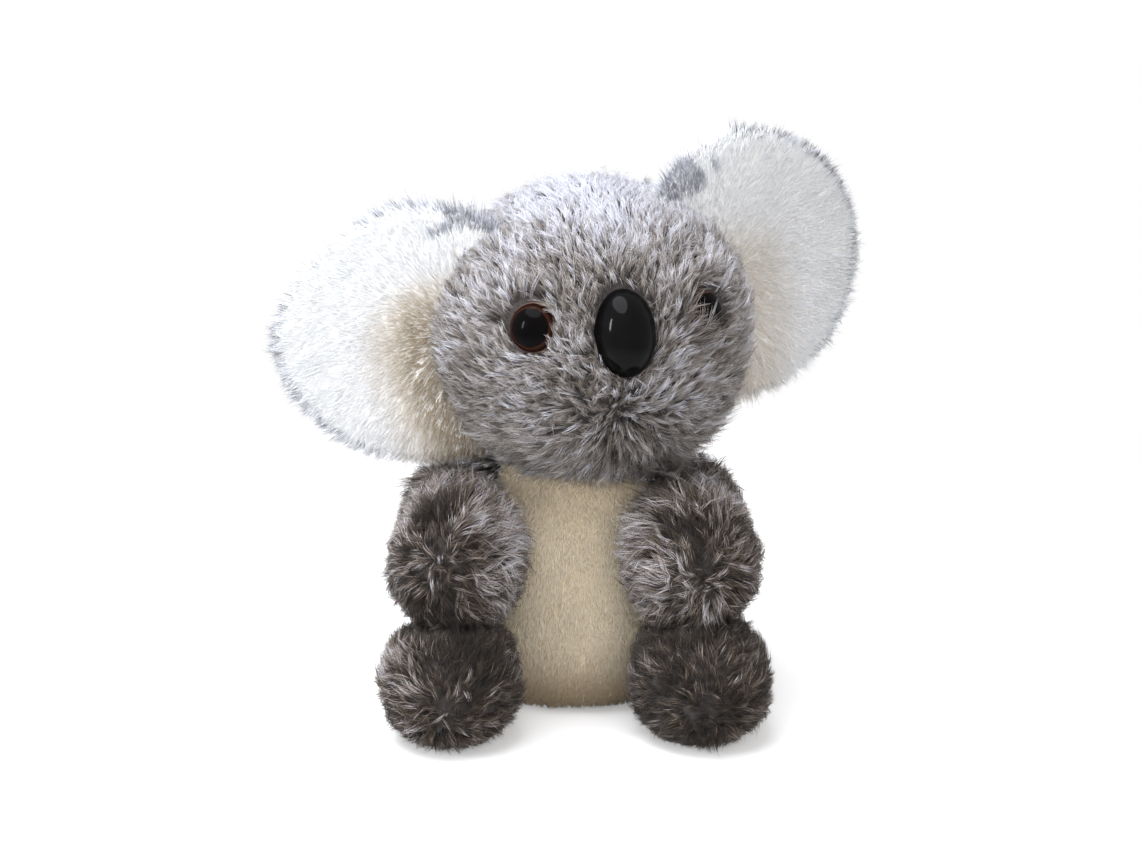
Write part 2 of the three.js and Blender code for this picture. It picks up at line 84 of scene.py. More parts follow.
# Limbs: root ball and paw, with the side's sign on X
ARM_ROOT = ((34.0, -4.0, 52.5), 14.0)
ARM_PAW = ((32.0, -36.0, 46.5), (19.5, 20.0, 21.0))
ARM_REST = 31.9
LEG_ROOT = ((29.0, -16.0, 16.0), 13.0)
LEG_FOOT = ((34.0, -44.0, 15.5), (20.5, 22.0, 21.0))
FOOT_TOP = 31.5
ARM_TOP = 200.0

# Ears
EAR_SEAM = (42.0, 4.0, 5.8)
EAR_REACH = 44.0
EAR_HALF_HEIGHT = 38.0
EAR_CENTRE = 4.0
EAR_CUP = 4.0
EAR_SWEEP = math.radians(27)
EAR_EDGE = 0.72
EAR_SLANTS = {"left": 0.24, "right": 0.02}
EAR_LIFTS = {"left": math.radians(-4.5), "right": math.radians(10.5)}
EAR_CLIP = 39.6
SEAM = 0.3

# Room for the pile between the cloth and the outer form, and the cloth's own thickness
LIMB_ROOM = 2.5
BELLY_ROOM = 1.3
SIDE_ROOM = 2.8
CLOTH = 1.0

# How deep the cloth is drawn in at its seams, how near that shows, and how far it stays off what it rests on
HEAD_SEAM_DEPTH = 1.1
HEAD_SEAM_WIDTH = 1.3
BODY_SEAM_DEPTH = 1.0
BODY_SEAM_COLUMNS = 1.6
SEAT_GAP = .6
FOOT_GAP = .7
ARM_GAP = .8
FOOT_TOP_GAP = 1.2

# Lowest level of the pile on what the toy sits on, and how far an arm's pile hangs below its cloth
BODY_PILE_ROOT = 1.2
BODY_PILE_FLOOR = .1
LEG_PILE_FLOOR = .08
ARM_PILE_HANG = 1.2

# Moulded face
FACE_SUNK = 6.0
FACE_LIFT = 1.3
EYE_AZIMUTH = math.radians(35)
EYE_ELEVATION = math.radians(13)
EYE_RADIUS = 7.0
EYE_RISE = 6.0
NOSE_HALF_WIDTH = 8.25
NOSE_HALF_HEIGHT = 11.75
NOSE_RISE = 9.5

# Name, azimuth, elevation, half width, half height and rise of each moulded piece
FACE = [
    ("eye_left", -EYE_AZIMUTH, EYE_ELEVATION, EYE_RADIUS, EYE_RADIUS, EYE_RISE),
    ("eye_right", EYE_AZIMUTH, EYE_ELEVATION, EYE_RADIUS, EYE_RADIUS, EYE_RISE),
    ("nose", 0.0, NOSE_ELEVATION, NOSE_HALF_WIDTH, NOSE_HALF_HEIGHT, NOSE_RISE),
]

SIDES = (("left", -1), ("right", 1))


# Small tools

def size_of(v):
    return np.linalg.norm(v, axis=-1)


def unit(v):
    return v / np.maximum(np.linalg.norm(v, axis=-1, keepdims=True), 1e-9)


def smooth(x, low, high):
    t = np.clip((x - low) / (high - low), 0, 1)
    return t * t * (3 - 2 * t)


def rot_z(a):
    c, s = math.cos(a), math.sin(a)
    return np.array([[c, -s, 0], [s, c, 0], [0, 0, 1.0]])


def rot_y(a):
    c, s = math.cos(a), math.sin(a)
    return np.array([[c, 0, s], [0, 1.0, 0], [-s, 0, c]])


HEAD_TURNED = rot_z(HEAD_TURN) @ rot_y(HEAD_TILT)


def head_world(p):
    return p @ HEAD_TURNED.T + HEAD_CENTRE


def head_local(p):
    return (p - HEAD_CENTRE) @ HEAD_TURNED


class Ripples:
    """A smooth random field over space, from a few waves of one scale."""

    def __init__(self, scale, seed, count=14):
        rng = np.random.default_rng(seed)
        self.k = unit(rng.normal(size=(count, 3))) * (2 * math.pi / scale) * rng.uniform(.6, 1.5, (count, 1))
        self.phase = rng.uniform(0, 2 * math.pi, count)

    def __call__(self, p):
        return np.sin(p @ self.k.T + self.phase).sum(1) / math.sqrt(len(self.phase) / 2)


# Meshes

def grid_faces(rows, columns, wrap):
    """Quads of a grid of rows x columns points, wrapped round in columns or not."""
    r = np.arange(rows - 1)[:, None]
    c = np.arange(columns if wrap else columns - 1)[None, :]
    n = (c + 1) % columns
    a = r * columns + c
    b = r * columns + n
    return np.stack([a, b, b + columns, a + columns], -1).reshape(-1, 4)


def make_object(name, verts, faces, material):
    """A smooth object with its doubled points merged and its faces turned outward."""
    mesh = bpy.data.meshes.new(name)
    mesh.from_pydata((np.asarray(verts) * MM).tolist(), [], [list(f) for f in faces])
    mesh.materials.append(material)
    bm = bmesh.new()
    bm.from_mesh(mesh)
    bmesh.ops.remove_doubles(bm, verts=bm.verts, dist=1e-6)
    bmesh.ops.dissolve_degenerate(bm, edges=bm.edges, dist=1e-7)
    bmesh.ops.recalc_face_normals(bm, faces=bm.faces)
    bm.to_mesh(mesh)
    bm.free()
    mesh.polygons.foreach_set("use_smooth", [True] * len(mesh.polygons))
    mesh.update()
    obj = bpy.data.objects.new(name, mesh)
    bpy.context.scene.collection.objects.link(obj)
    return obj


def hang(obj, body, node):
    """Fixes a piece to its body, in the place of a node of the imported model."""
    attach(obj, body)
    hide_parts(node)


def shell(verts, faces, thickness):
    """A sheet of cloth: the outer face, the same face further in, and walls round the open edges."""
    count = len(verts)
    inner = verts - vertex_normals(verts, triangles(faces)) * thickness
    edges = dict.fromkeys((a, b) for f in faces for a, b in zip(f, [*f[1:], f[0]]))
    walls = [(b, a, a + count, b + count) for a, b in edges if (b, a) not in edges]
    back = [tuple(v + count for v in reversed(f)) for f in faces]
    return np.vstack([verts, inner]), [tuple(f) for f in faces] + back + walls


def triangles(faces):
    return np.array([(f[0], f[i], f[i + 1]) for f in faces for i in range(1, len(f) - 1)])


def vertex_normals(verts, tris):
    cross = np.cross(verts[tris[:, 1]] - verts[tris[:, 0]], verts[tris[:, 2]] - verts[tris[:, 0]])
    normals = np.zeros_like(verts)
    for i in range(3):
        np.add.at(normals, tris[:, i], cross)
    return unit(normals)


def turned_outward(verts, faces, middle):
    """The faces, all turned round if they look toward the middle."""
    inward = (vertex_normals(verts, triangles(faces)) * (verts - middle)).sum() < 0
    return faces[:, ::-1] if inward else faces


def in_surface(v, n):
    """Directions laid into the surface with these normals."""
    return unit(v - n * (v * n).sum(1, keepdims=True))


# Pile

# Points tried for each square of the spacing, the width in spacings of the cells that hold one point
# each, and the step between rows of cells in their keys
SCATTER_TRIES = 5
CELL_WIDTH = 1.18
CELL_STRIDE = 4001


def scatter(verts, tris, spacing, rng, keep):
    """Evenly spread points on a mesh, about one for each square of the spacing, and their normals."""
    a, b, c = (verts[tris[:, i]] for i in range(3))
    area = size_of(np.cross(b - a, c - a)) / 2
    count = int(area.sum() / spacing ** 2 * SCATTER_TRIES)
    pick = rng.choice(len(tris), count, p=area / area.sum())
    u, v = rng.random(count), rng.random(count)
    flip = u + v > 1
    u[flip], v[flip] = 1 - u[flip], 1 - v[flip]
    shares = np.stack([1 - u - v, u, v], 1)[:, :, None]
    p = (verts[tris[pick]] * shares).sum(1)
    n = unit((vertex_normals(verts, tris)[tris[pick]] * shares).sum(1))
    cell = np.floor(p / (spacing * CELL_WIDTH)).astype(np.int64)
    key = (cell[:, 0] * CELL_STRIDE + cell[:, 1]) * CELL_STRIDE + cell[:, 2]
    _, first = np.unique(key, return_index=True)
    first.sort()
    p, n = p[first], n[first]
    chosen = keep(p)
    return p[chosen], n[chosen]


def turn_about(v, axis, angle):
    c, s = np.cos(angle)[:, None], np.sin(angle)[:, None]
    return v * c + np.cross(axis, v) * s + axis * (v * axis).sum(1, keepdims=True) * (1 - c)


# A strand: how far along it its rings and its tip lie, and the rings' widths
STEPS = (0, .62, 1)
RINGS = len(STEPS) - 1
TAPER = (1, .85)
STRAND_TRIANGLES = 6 * (RINGS - 1) + 4
MESH_TRIANGLES = 190000

# How much a clump's lean, and a strand's gathering and length, vary
LEAN_SPREAD = .10
GATHER_SPREAD = .18
SHARE_SPREAD = .2

# How a strand is gathered into its clump and strays from it, by powers of the way along it
GATHER_POWER = 1.3
STRAY_POWER = 1.6

# The tones that a strand may take, and how far the tone runs on across one of its sides
DARKEST, PALEST = .03, .93
TONE_STEP = .012


def grow(roots, normals, flow, fur, rng, shade, extent, lie):
    """Strands in clumps. Returns the strands' rings, tones and widths.

    roots, normals: the clumps' places. flow: where the pile is combed to, in the surface.
    shade(p): tone added at a place. extent(p), lie(p): shares of the length and of the lean at a place.
    """
    n = len(roots)
    swirl = fur.swirl * Ripples(fur.swirl_scale, fur.seed)(roots)
    flow = turn_about(flow, normals, swirl + rng.normal(0, fur.clump_turn, n))
    length = fur.length * (1 + fur.length_spread * rng.normal(0, 1, n))
    length *= 1 + fur.patch * Ripples(fur.swirl_scale * .8, fur.seed + 1)(roots)
    if extent is not None:
        length *= extent(roots)
    lift0, lift1 = (lean + rng.normal(0, LEAN_SPREAD, n) for lean in fur.lean)
    if lie is not None:
        lift0, lift1 = lift0 * lie(roots), lift1 * lie(roots)
    tone = .5 + fur.clump_tone * rng.normal(0, 1, n) + shade(roots)
    bend = rng.normal(0, fur.bend, n)
    line = [roots - normals * fur.sunk]
    for start, end in zip(STEPS, STEPS[1:]):
        mid = (start + end) / 2
        lean = lift0 + (lift1 - lift0) * mid
        toward = turn_about(flow, normals, bend * mid)
        ahead = normals * np.cos(lean)[:, None] + toward * np.sin(lean)[:, None]
        line.append(line[-1] + ahead * (length * (end - start))[:, None])
    index = np.repeat(np.arange(n), fur.per_clump)
    total = len(index)
    around = rng.uniform(0, 2 * math.pi, total)
    away = fur.clump_radius * np.sqrt(rng.random(total))
    across = unit(np.cross(normals, flow))[index]
    along = np.cross(across, normals[index])
    offset = across * (np.cos(around) * away)[:, None] + along * (np.sin(around) * away)[:, None]
    gather = np.clip(fur.gather + GATHER_SPREAD * rng.normal(0, 1, total), -.2, .97)
    share = np.clip(1 + SHARE_SPREAD * rng.normal(0, 1, total), .5, 1.4)
    wild = rng.normal(0, fur.stray, (total, 3))
    points = []
    for k, s in enumerate(STEPS):
        q = line[0][index] + (line[k][index] - line[0][index]) * (1 if k == 0 else share[:, None])
        q = q + offset * (1 - gather * s ** GATHER_POWER)[:, None]
        q = q + wild * (length[index] * s ** STRAY_POWER)[:, None]
        points.append(q)
    tones = tone[index] + fur.strand_tone * rng.normal(0, 1, total)
    widths = fur.width * rng.uniform(.75, 1.2, total)
    return points, tones, widths


def strand_faces():
    """Corners, sizes and UVs of one strand's faces: its sides ring by ring, its pointed end and its root."""
    corners, sizes, us, vs = [], [], [], []
    for k in range(RINGS - 1):
        for j in range(3):
            i = (j + 1) % 3
            corners += [3 * k + j, 3 * k + i, 3 * k + 3 + i, 3 * k + 3 + j]
            sizes.append(4)
            us += [j, j + 1, j + 1, j]
            vs += [k, k, k + 1, k + 1]
    end = 3 * (RINGS - 1)
    for j in range(3):
        corners += [end + j, end + (j + 1) % 3, 3 * RINGS]
        sizes.append(3)
        us += [j, j + 1, j + .5]
        vs += [RINGS - 1, RINGS - 1, RINGS]
    corners += [2, 1, 0]
    sizes.append(3)
    us += [1, 2, 1.5]
    vs += [0, 0, .2]
    return np.array(corners), np.array(sizes), np.array(us), np.interp(vs, np.arange(RINGS + 1), STEPS)


def strand_mesh(name, points, tones, widths, material, rng):
    """One mesh of three-sided strands, closed at both ends. OFBake is the tone across, and root to tip up."""
    n = len(points[0])
    ahead = unit(points[-1] - points[0])
    helper = np.where(np.abs(ahead[:, 2:3]) < .9, np.array([[0, 0, 1.0]]), np.array([[1.0, 0, 0]]))
    a = unit(np.cross(ahead, helper))
    b = np.cross(ahead, a)
    roll = rng.uniform(0, 2 * math.pi, n)
    per = 3 * RINGS + 1
    verts = np.empty((n, per, 3))
    for k in range(RINGS):
        radius = widths / 2 * TAPER[k]
        for j in range(3):
            angle = roll + j * 2 * math.pi / 3
            spoke = a * np.cos(angle)[:, None] + b * np.sin(angle)[:, None]
            verts[:, 3 * k + j] = points[k] + spoke * radius[:, None]
    verts[:, per - 1] = points[-1]
    corners, sizes, us, vs = strand_faces()
    tones = np.clip(tones, DARKEST, PALEST)
    tones[:2] = (DARKEST, PALEST)
    u = tones[:, None] + TONE_STEP * us[None, :]
    uv = np.stack([u, np.broadcast_to(vs[None, :], u.shape)], -1).reshape(-1).astype(np.float32)
    mesh = bpy.data.meshes.new(name)
    mesh.vertices.add(n * per)
    mesh.vertices.foreach_set("co", (verts * MM).astype(np.float32).ravel())
    loops = (np.arange(n)[:, None] * per + corners[None, :]).ravel()
    mesh.loops.add(len(loops))
    mesh.loops.foreach_set("vertex_index", loops.astype(np.int32))
    mesh.polygons.add(n * len(sizes))
    starts = np.arange(n)[:, None] * len(corners) + np.concatenate([[0], np.cumsum(sizes)[:-1]])[None, :]
    mesh.polygons.foreach_set("loop_start", starts.ravel().astype(np.int32))
    mesh.polygons.foreach_set("loop_total", np.tile(sizes, n).astype(np.int32))
    mesh.polygons.foreach_set("use_smooth", np.ones(n * len(sizes), bool))
    mesh.uv_layers.new(name="OFBake").data.foreach_set("uv", uv)
    mesh.materials.append(material)
    mesh.update(calc_edges=True)
    obj = bpy.data.objects.new(name, mesh)
    bpy.context.scene.collection.objects.link(obj)
    return obj


# Materials

def feed(tree, node, given):
    """Fills a node's inputs, by name or number: links those given a socket, and sets those given a value."""
    for key, value in given.items():
        if isinstance(value, bpy.types.NodeSocket):
            tree.links.new(value, node.inputs[key])
        else:
            node.inputs[key].default_value = value
    return node


def add(tree, kind, given, **settings):
    """Adds a shader node with its settings and inputs."""
    node = tree.nodes.new("ShaderNode" + kind)
    for key, value in settings.items():
        setattr(node, key, value)
    return feed(tree, node, given)


def calc(tree, operation, *given):
    """Result of a sum on sockets and values."""
    return add(tree, "Math", dict(enumerate(given)), operation=operation).outputs[0]


def new_material(name):
    """A material with its node tree and its Principled shader."""
    material = bpy.data.materials.new(name)
    material.use_nodes = True
    tree = material.node_tree
    tree.nodes.clear()
    shader = add(tree, "BsdfPrincipled", {})
    add(tree, "OutputMaterial", {"Surface": shader.outputs["BSDF"]})
    return material, tree, shader


def object_place(tree):
    return add(tree, "TexCoord", {}).outputs["Object"]


def srgb(r, g, b):
    def one(c):
        c = c / 255
        return c / 12.92 if c <= .04045 else ((c + .055) / 1.055) ** 2.4
    return (one(r), one(g), one(b), 1.0)


def palette(*stops):
    """Stops of a ramp, each a place on it and a colour of 0 to 255."""
    return [(place, srgb(*colour)) for place, *colour in stops]


def ramp(tree, stops, along):
    """Colour by a value."""
    node = add(tree, "ValToRGB", {"Fac": along})
    elements = node.color_ramp.elements
    while len(elements) > 1:
        elements.remove(elements[-1])
    elements[0].position, elements[0].color = stops[0]
    for position, colour in stops[1:]:
        elements.new(position).color = colour
    return node.outputs["Color"]


def bump(tree, height, distance, strength=1.0):
    return add(tree, "Bump", {"Height": height, "Distance": distance, "Strength": strength}).outputs["Normal"]


def pile_material(name, roots, tips, turn, roughness=.62, sheen=.25):
    """Colour from root to tip of a strand, each a run of tones from dark to pale."""
    material, tree, shader = new_material(name)
    place = add(tree, "UVMap", {}, uv_map="OFBake").outputs["UV"]
    split = add(tree, "SeparateXYZ", {"Vector": place})
    low, high = (ramp(tree, palette(*stops), split.outputs["X"]) for stops in (roots, tips))
    along = ramp(tree, [(p, (g, g, g, 1)) for p, g in turn], split.outputs["Y"])
    mix = add(tree, "Mix", {}, data_type="RGBA")
    feed(tree, mix, {"Factor": along, "A": low, "B": high})
    feed(tree, shader, {
        "Base Color": mix.outputs["Result"], "Roughness": roughness, "Specular IOR Level": .18,
        "Sheen Weight": sheen, "Sheen Roughness": .5,
    })
    return material


def cloth_material(name, dark, pale, scale=900):
    """Knitted backing cloth: rows of small loops, a little uneven in colour."""
    material, tree, shader = new_material(name)
    place = object_place(tree)
    loops = add(tree, "TexVoronoi", {"Scale": scale, "Vector": place}).outputs["Distance"]
    patches = add(tree, "TexNoise", {"Scale": scale / 12, "Vector": place}).outputs["Fac"]
    mottled = calc(tree, "MULTIPLY", loops, patches)
    colour = ramp(tree, palette((0, *dark), (.6, *pale)), mottled)
    feed(tree, shader, {
        "Base Color": colour, "Normal": bump(tree, loops, .0003, .6), "Roughness": .9, "Sheen Weight": .2})
    return material


def speckled_material(name, dark, pale, scale, roughness, distance):
    """Filling, bead cloth, thread and washers: a fine uneven colour and a fine bump."""
    material, tree, shader = new_material(name)
    noise = add(tree, "TexNoise", {"Scale": scale, "Detail": 6, "Vector": object_place(tree)}).outputs["Fac"]
    colour = ramp(tree, palette((.3, *dark), (.7, *pale)), noise)
    feed(tree, shader, {"Base Color": colour, "Normal": bump(tree, noise, distance), "Roughness": roughness})
    return material


# Pile of the head. The palest, bluish-white end of its tones is painted light, used over the top of the head.
HEAD_PILE = pile_material(
    "head_pile",
    [(0, 40, 34, 32), (.35, 66, 59, 56), (.65, 112, 106, 105), (1, 226, 226, 240)],
    [(0, 88, 78, 70), (.35, 158, 147, 136), (.65, 216, 211, 211), (1, 243, 246, 255)],
    [(0, 0), (.3, .06), (.6, .42), (.88, 1)],
)
# Pile of the limbs and the body's sides: the head's fabric in darker, browner tones. The darkness is partly
# the limbs' own browner colour and partly painted shade, as they face down, away from the light.
LIMB_PILE_SHADED = pile_material(
    "limb_pile_shaded",
    [(0, 11, 8, 6), (.5, 30, 24, 19), (1, 104, 96, 91)],
    [(0, 26, 19, 13), (.35, 80, 65, 51), (.62, 152, 138, 126), (.85, 220, 213, 212), (1, 240, 239, 248)],
    [(0, 0), (.25, .1), (.5, .58), (.8, 1)], sheen=.12,
)
# Pile of the ears' fronts. Its low end, tan to brown, is painted shade in the hollow beside the head; its
# high end, soft grey to grey, is for the rim.
WHITE_PILE = pile_material(
    "white_pile",
    [(0, 150, 134, 110), (.2, 172, 157, 134), (.4, 220, 211, 197), (.62, 248, 249, 251), (.76, 250, 252, 255),
     (.84, 200, 203, 212), (.93, 110, 112, 124)],
    [(0, 154, 138, 114), (.2, 178, 163, 140), (.4, 225, 216, 202), (.62, 250, 251, 253), (.76, 252, 254, 255),
     (.84, 206, 209, 218), (.93, 122, 124, 137)],
    [(0, 0), (.5, .7), (1, 1)], roughness=.7, sheen=.3,
)
# Pile of the belly. Its dark brown low end is painted shade, low on the belly and under the chin.
CREAM_PILE = pile_material(
    "cream_pile",
    [(0, 126, 102, 72), (.3, 193, 173, 141), (.6, 247, 236, 213), (1, 253, 248, 237)],
    [(0, 128, 104, 74), (.3, 196, 176, 144), (.6, 249, 239, 217), (1, 254, 250, 240)],
    [(0, 0), (.6, .8), (1, 1)], roughness=.75,
)
GREY_CLOTH = cloth_material("grey_cloth", (34, 30, 28), (66, 60, 57))
WHITE_CLOTH = cloth_material("white_cloth", (224, 220, 214), (247, 247, 248))
CREAM_CLOTH = cloth_material("cream_cloth", (190, 172, 142), (226, 212, 186))


# Head

def head_radius(direction, radius):
    """How far the head form reaches in a direction, in the head's own frame."""
    from_neck = np.arccos(np.clip(-direction[:, 2], -1, 1))
    share = smooth(from_neck, NECK_SEAT_ANGLE, CHEEK_ANGLE)
    return radius * (1 + share * HEAD_WIDENING * direction[:, 0] ** 2)


def outward(azimuth, elevation):
    level = math.cos(elevation)
    return np.array([math.sin(azimuth) * level, -math.cos(azimuth) * level, math.sin(elevation)])


def face_place(azimuth, elevation):
    """Seat of a moulded piece: its middle and its across, up and out directions, in the head's frame."""
    out = outward(azimuth, elevation)
    across = unit(np.cross(np.array([0, 0, 1.0]), out))
    up = np.cross(out, across)
    seat = head_radius(out[None, :], HEAD_RADIUS - FACE_SUNK)[0] + FACE_LIFT
    return out * seat, np.stack([across, up, out])


PLACES = {name: face_place(azimuth, elevation) for name, azimuth, elevation, *_ in FACE}
MOUTH = outward(math.radians(-1), math.radians(-25))
MOUTH_WAVES = [Ripples(2.2, 400 + k) for k in range(3)]
NAPE = unit(np.array([0, .35, -1.0]))


def on_piece(name, p):
    """Places across, up and out from the seat of a moulded piece, for points in the head's frame."""
    seat, axes = PLACES[name]
    return (p - seat) @ axes.T


def from_nose(p):
    """Places from the nose's seat, and their distance from its middle, 1 at its rim."""
    at = on_piece("nose", p)
    return at, np.hypot(at[:, 0] / NOSE_HALF_WIDTH, at[:, 1] / NOSE_HALF_HEIGHT)


def crown_region(p):
    """True in the crown panel: a band over the head that ends under the nose and runs down the back."""
    above_nose = (p[:, 2] > CROWN_LEVEL) | (p[:, 2] > CROWN_LEVEL - CROWN_SLOPE * p[:, 1])
    return (np.abs(p[:, 0]) < CROWN_HALF) & above_nose


def head_panels():
    """Outer faces of the cloth of the crown and the cheeks, cut along their seams, in the head's frame."""
    bm = bmesh.new()
    bmesh.ops.create_icosphere(bm, subdivisions=5, radius=1)
    half, level = CROWN_HALF / HEAD_CLOTH, CROWN_LEVEL / HEAD_CLOTH
    cuts = [((x, 0, 0), (1, 0, 0)) for x in (half, -half, 0)]
    cuts += [((0, 0, level), (0, slope, 1)) for slope in (0, CROWN_SLOPE)]
    for co, no in cuts:
        geom = bm.verts[:] + bm.edges[:] + bm.faces[:]
        bmesh.ops.bisect_plane(bm, geom=geom, plane_co=co, plane_no=no, dist=1e-5)
    bm.verts.ensure_lookup_table()
    directions = unit(np.array([v.co for v in bm.verts]))
    faces = [[v.index for v in f.verts] for f in bm.faces]
    bm.free()
    verts = directions * head_radius(directions, HEAD_CLOTH)[:, None]
    centres = np.array([verts[f].mean(0) for f in faces])
    crown = crown_region(centres)
    groups = {
        "head_crown": crown,
        "head_cheek_left": ~crown & (centres[:, 0] < 0),
        "head_cheek_right": ~crown & (centres[:, 0] >= 0),
    }
    panels = {}
    for name, chosen in groups.items():
        used = [faces[i] for i in np.nonzero(chosen)[0]]
        keep = np.unique(np.concatenate([np.array(f) for f in used]))
        new = -np.ones(len(verts), int)
        new[keep] = np.arange(len(keep))
        panels[name] = (verts[keep], [tuple(new[i] for i in f) for f in used])
    return panels


def seam_distance(p):
    """Distance to the nearest seam of the head's cover, in the head's frame."""
    over = p[:, 2] - CROWN_LEVEL
    lower = np.where(p[:, 1] < 0, over, (over + CROWN_SLOPE * p[:, 1]) / math.hypot(1, CROWN_SLOPE))
    sides = np.abs(np.abs(p[:, 0]) - CROWN_HALF)
    at_sides = np.where(lower > 0, sides, 99)
    at_end = np.where(np.abs(p[:, 0]) < CROWN_HALF, np.abs(lower), 99)
    middle = np.where(lower < 0, np.abs(p[:, 0]), 99)
    return np.minimum(np.minimum(at_sides, at_end), middle)


def head_flow(p, n):
    """The pile is combed away from the mouth over the face, and down to the nape behind."""
    d = unit(head_local(p))
    from_mouth = np.arccos(np.clip(d @ MOUTH, -1, 1))
    mouth = unit(MOUTH + .1 * np.stack([wave(p) for wave in MOUTH_WAVES], -1))
    away = unit(np.cross(np.cross(d, mouth), d)) * -1
    to_nape = unit(np.cross(np.cross(d, NAPE[None, :]), d))
    behind = smooth(from_mouth, math.radians(75), math.radians(150))[:, None]
    flow = away * (1 - behind) + to_nape * behind
    at, reach = from_nose(d * HEAD_CLOTH)
    across, up, _ = PLACES["nose"][1]
    round_it = unit(at[:, 0:1] * across / NOSE_HALF_WIDTH ** 2 + at[:, 1:2] * up / NOSE_HALF_HEIGHT ** 2)
    toward = (flow * round_it).sum(1)
    near = 1 - smooth(reach, 1.0, 1.6)
    flow = flow + round_it * (np.where(toward < 0, -toward * .8, 0) * near)[:, None]
    return in_surface(flow, n @ HEAD_TURNED) @ HEAD_TURNED.T


def head_extent(p):
    """Longer pile under the chin and over the right eye, and a little shorter between the eyes."""
    d = unit(head_local(p))
    chin = smooth(-d[:, 2], .35, .6)
    bridge = np.exp(-((d - outward(0, math.radians(22))) ** 2).sum(1) / .12)
    at = on_piece("eye_right", head_local(p))
    over_eye = smooth(13 - np.hypot(at[:, 0], at[:, 1]), 0, 4) * smooth(2 - at[:, 0] + .6 * at[:, 1], -2, 4)
    return 1 + .5 * chin - .15 * bridge + .55 * over_eye


def head_lie(p):
    """Pile that stands up round the mouth, where it is parted all ways, and lies flatter over the top."""
    d = unit(head_local(p))
    from_mouth = np.arccos(np.clip(d @ MOUTH, -1, 1))
    return .35 + .65 * smooth(from_mouth, 0, .22) + .07 * smooth(d[:, 2], .5, .9)


def bare(name, at):
    """True where no pile lies over a moulded piece. It laps over the eyes on the nose's side."""
    if name == "eye_left":
        return (at[:, 0] < 3.4 - .25 * at[:, 1]) & (at[:, 2] > -1)
    if name == "eye_right":
        return (at[:, 0] > 2.0) & (at[:, 1] > -4.4) & (at[:, 2] > -1)
    return at[:, 2] > -1


def clear_of_face(points, keep):
    """Ends strands short of the eyes and the nose, lays those that lap over them on their surface."""
    local = [head_local(q) for q in points]
    root = local[0]
    for name, _, _, half_width, half_height, rise in FACE:
        seat, axes = PLACES[name]
        at = on_piece(name, root)
        under = np.hypot(at[:, 0] / (half_width - .3), at[:, 1] / (half_height - .3)) < 1
        keep &= ~(under & (at[:, 2] > -FACE_SUNK))
        near = size_of(root - seat) < half_height + 12
        share = np.ones(len(root))
        for s in np.linspace(1, .1, 10):
            k = max(i for i in range(RINGS) if STEPS[i] <= s + 1e-9)
            part = (s - STEPS[k]) / (STEPS[k + 1] - STEPS[k])
            at = on_piece(name, local[k] + (local[k + 1] - local[k]) * part)
            over = np.hypot(at[:, 0] / half_width, at[:, 1] / half_height) < 1
            share[near & over & bare(name, at)] = s
        share = np.where(share < 1, np.maximum(share - .08, .3), 1)[:, None]
        local = [root + (q - root) * share for q in local]
        size = np.array([half_width + .25, half_height + .25, rise + .25])
        for k in range(1, len(local)):
            at = on_piece(name, local[k])
            reach = size_of(at / size)
            hit = (reach < 1) & (at[:, 2] > -1.5)
            at[hit] /= np.maximum(reach[hit], .25)[:, None]
            local[k] = at @ axes + seat
    return [head_world(q) for q in local], keep


# Body

def catmull(points, count):
    """Points along a smooth curve through the given ones."""
    p = np.asarray(points, float)
    padded = np.vstack([p[0], p, p[-1]])
    t = np.linspace(0, len(p) - 1 - 1e-9, count)
    i = t.astype(int)
    f = (t - i)[:, None]
    a, b, c, d = (padded[i + k] for k in range(4))
    v0, v1 = (c - a) / 2, (d - b) / 2
    return (2 * b - 2 * c + v0 + v1) * f ** 3 + (-3 * b + 3 * c - 2 * v0 - v1) * f ** 2 + v0 * f + b


def body_profile(margin, count):
    base = -SEAT_CUT - margin
    height = BODY_HEIGHT + margin - base
    curve = catmull([(a * (BODY_WIDTH / 2 + margin), base + u * height) for a, u in BODY_OUTLINE], 600)
    run = np.concatenate([[0], np.cumsum(size_of(np.diff(curve, axis=0)))])
    at = np.linspace(0, run[-1], count)
    return np.stack([np.interp(at, run, curve[:, 0]), np.interp(at, run, curve[:, 1])], 1)


def belly_half(z):
    """Half width of the belly panel at a height."""
    low = smooth(z, 0, BELLY_WIDEST_HEIGHT)
    top = smooth(z, BELLY_WIDEST_HEIGHT, BODY_HEIGHT)
    return BELLY_SEAT_HALF + (BELLY_HALF - BELLY_SEAT_HALF) * low - (BELLY_HALF - BELLY_TOP_HALF) * top


def body_patch(margin, part, rows, columns):
    """Grid of points on the body, over the belly panel or from its edge round to the back seam."""
    profile = body_profile(margin, rows)
    r, z = profile[:, 0], profile[:, 1]
    lean = BODY_LEAN * z / BODY_HEIGHT
    half = belly_half(np.clip(z, 0, BODY_HEIGHT))
    edge_left, edge_right = (
        np.arcsin(np.clip((x - lean) / np.maximum(r, .01), -1, 1)) for x in (-half, half))
    t = np.linspace(0, 1, columns)[None, :]
    if part == "belly":
        angle = edge_left[:, None] * (1 - t) + edge_right[:, None] * t
    elif part == "left":
        angle = -math.pi * (1 - t) + edge_left[:, None] * t
    else:
        angle = edge_right[:, None] * (1 - t) + math.pi * t
    depth = (BODY_DEPTH + 2 * margin) / (BODY_WIDTH + 2 * margin)
    x = r[:, None] * np.sin(angle) + lean[:, None]
    y = -r[:, None] * np.cos(angle) * depth - BODY_FORWARD
    points = np.stack([x, y, np.broadcast_to(z[:, None], x.shape)], -1)
    return points.reshape(-1, 3), grid_faces(rows, columns, False), t
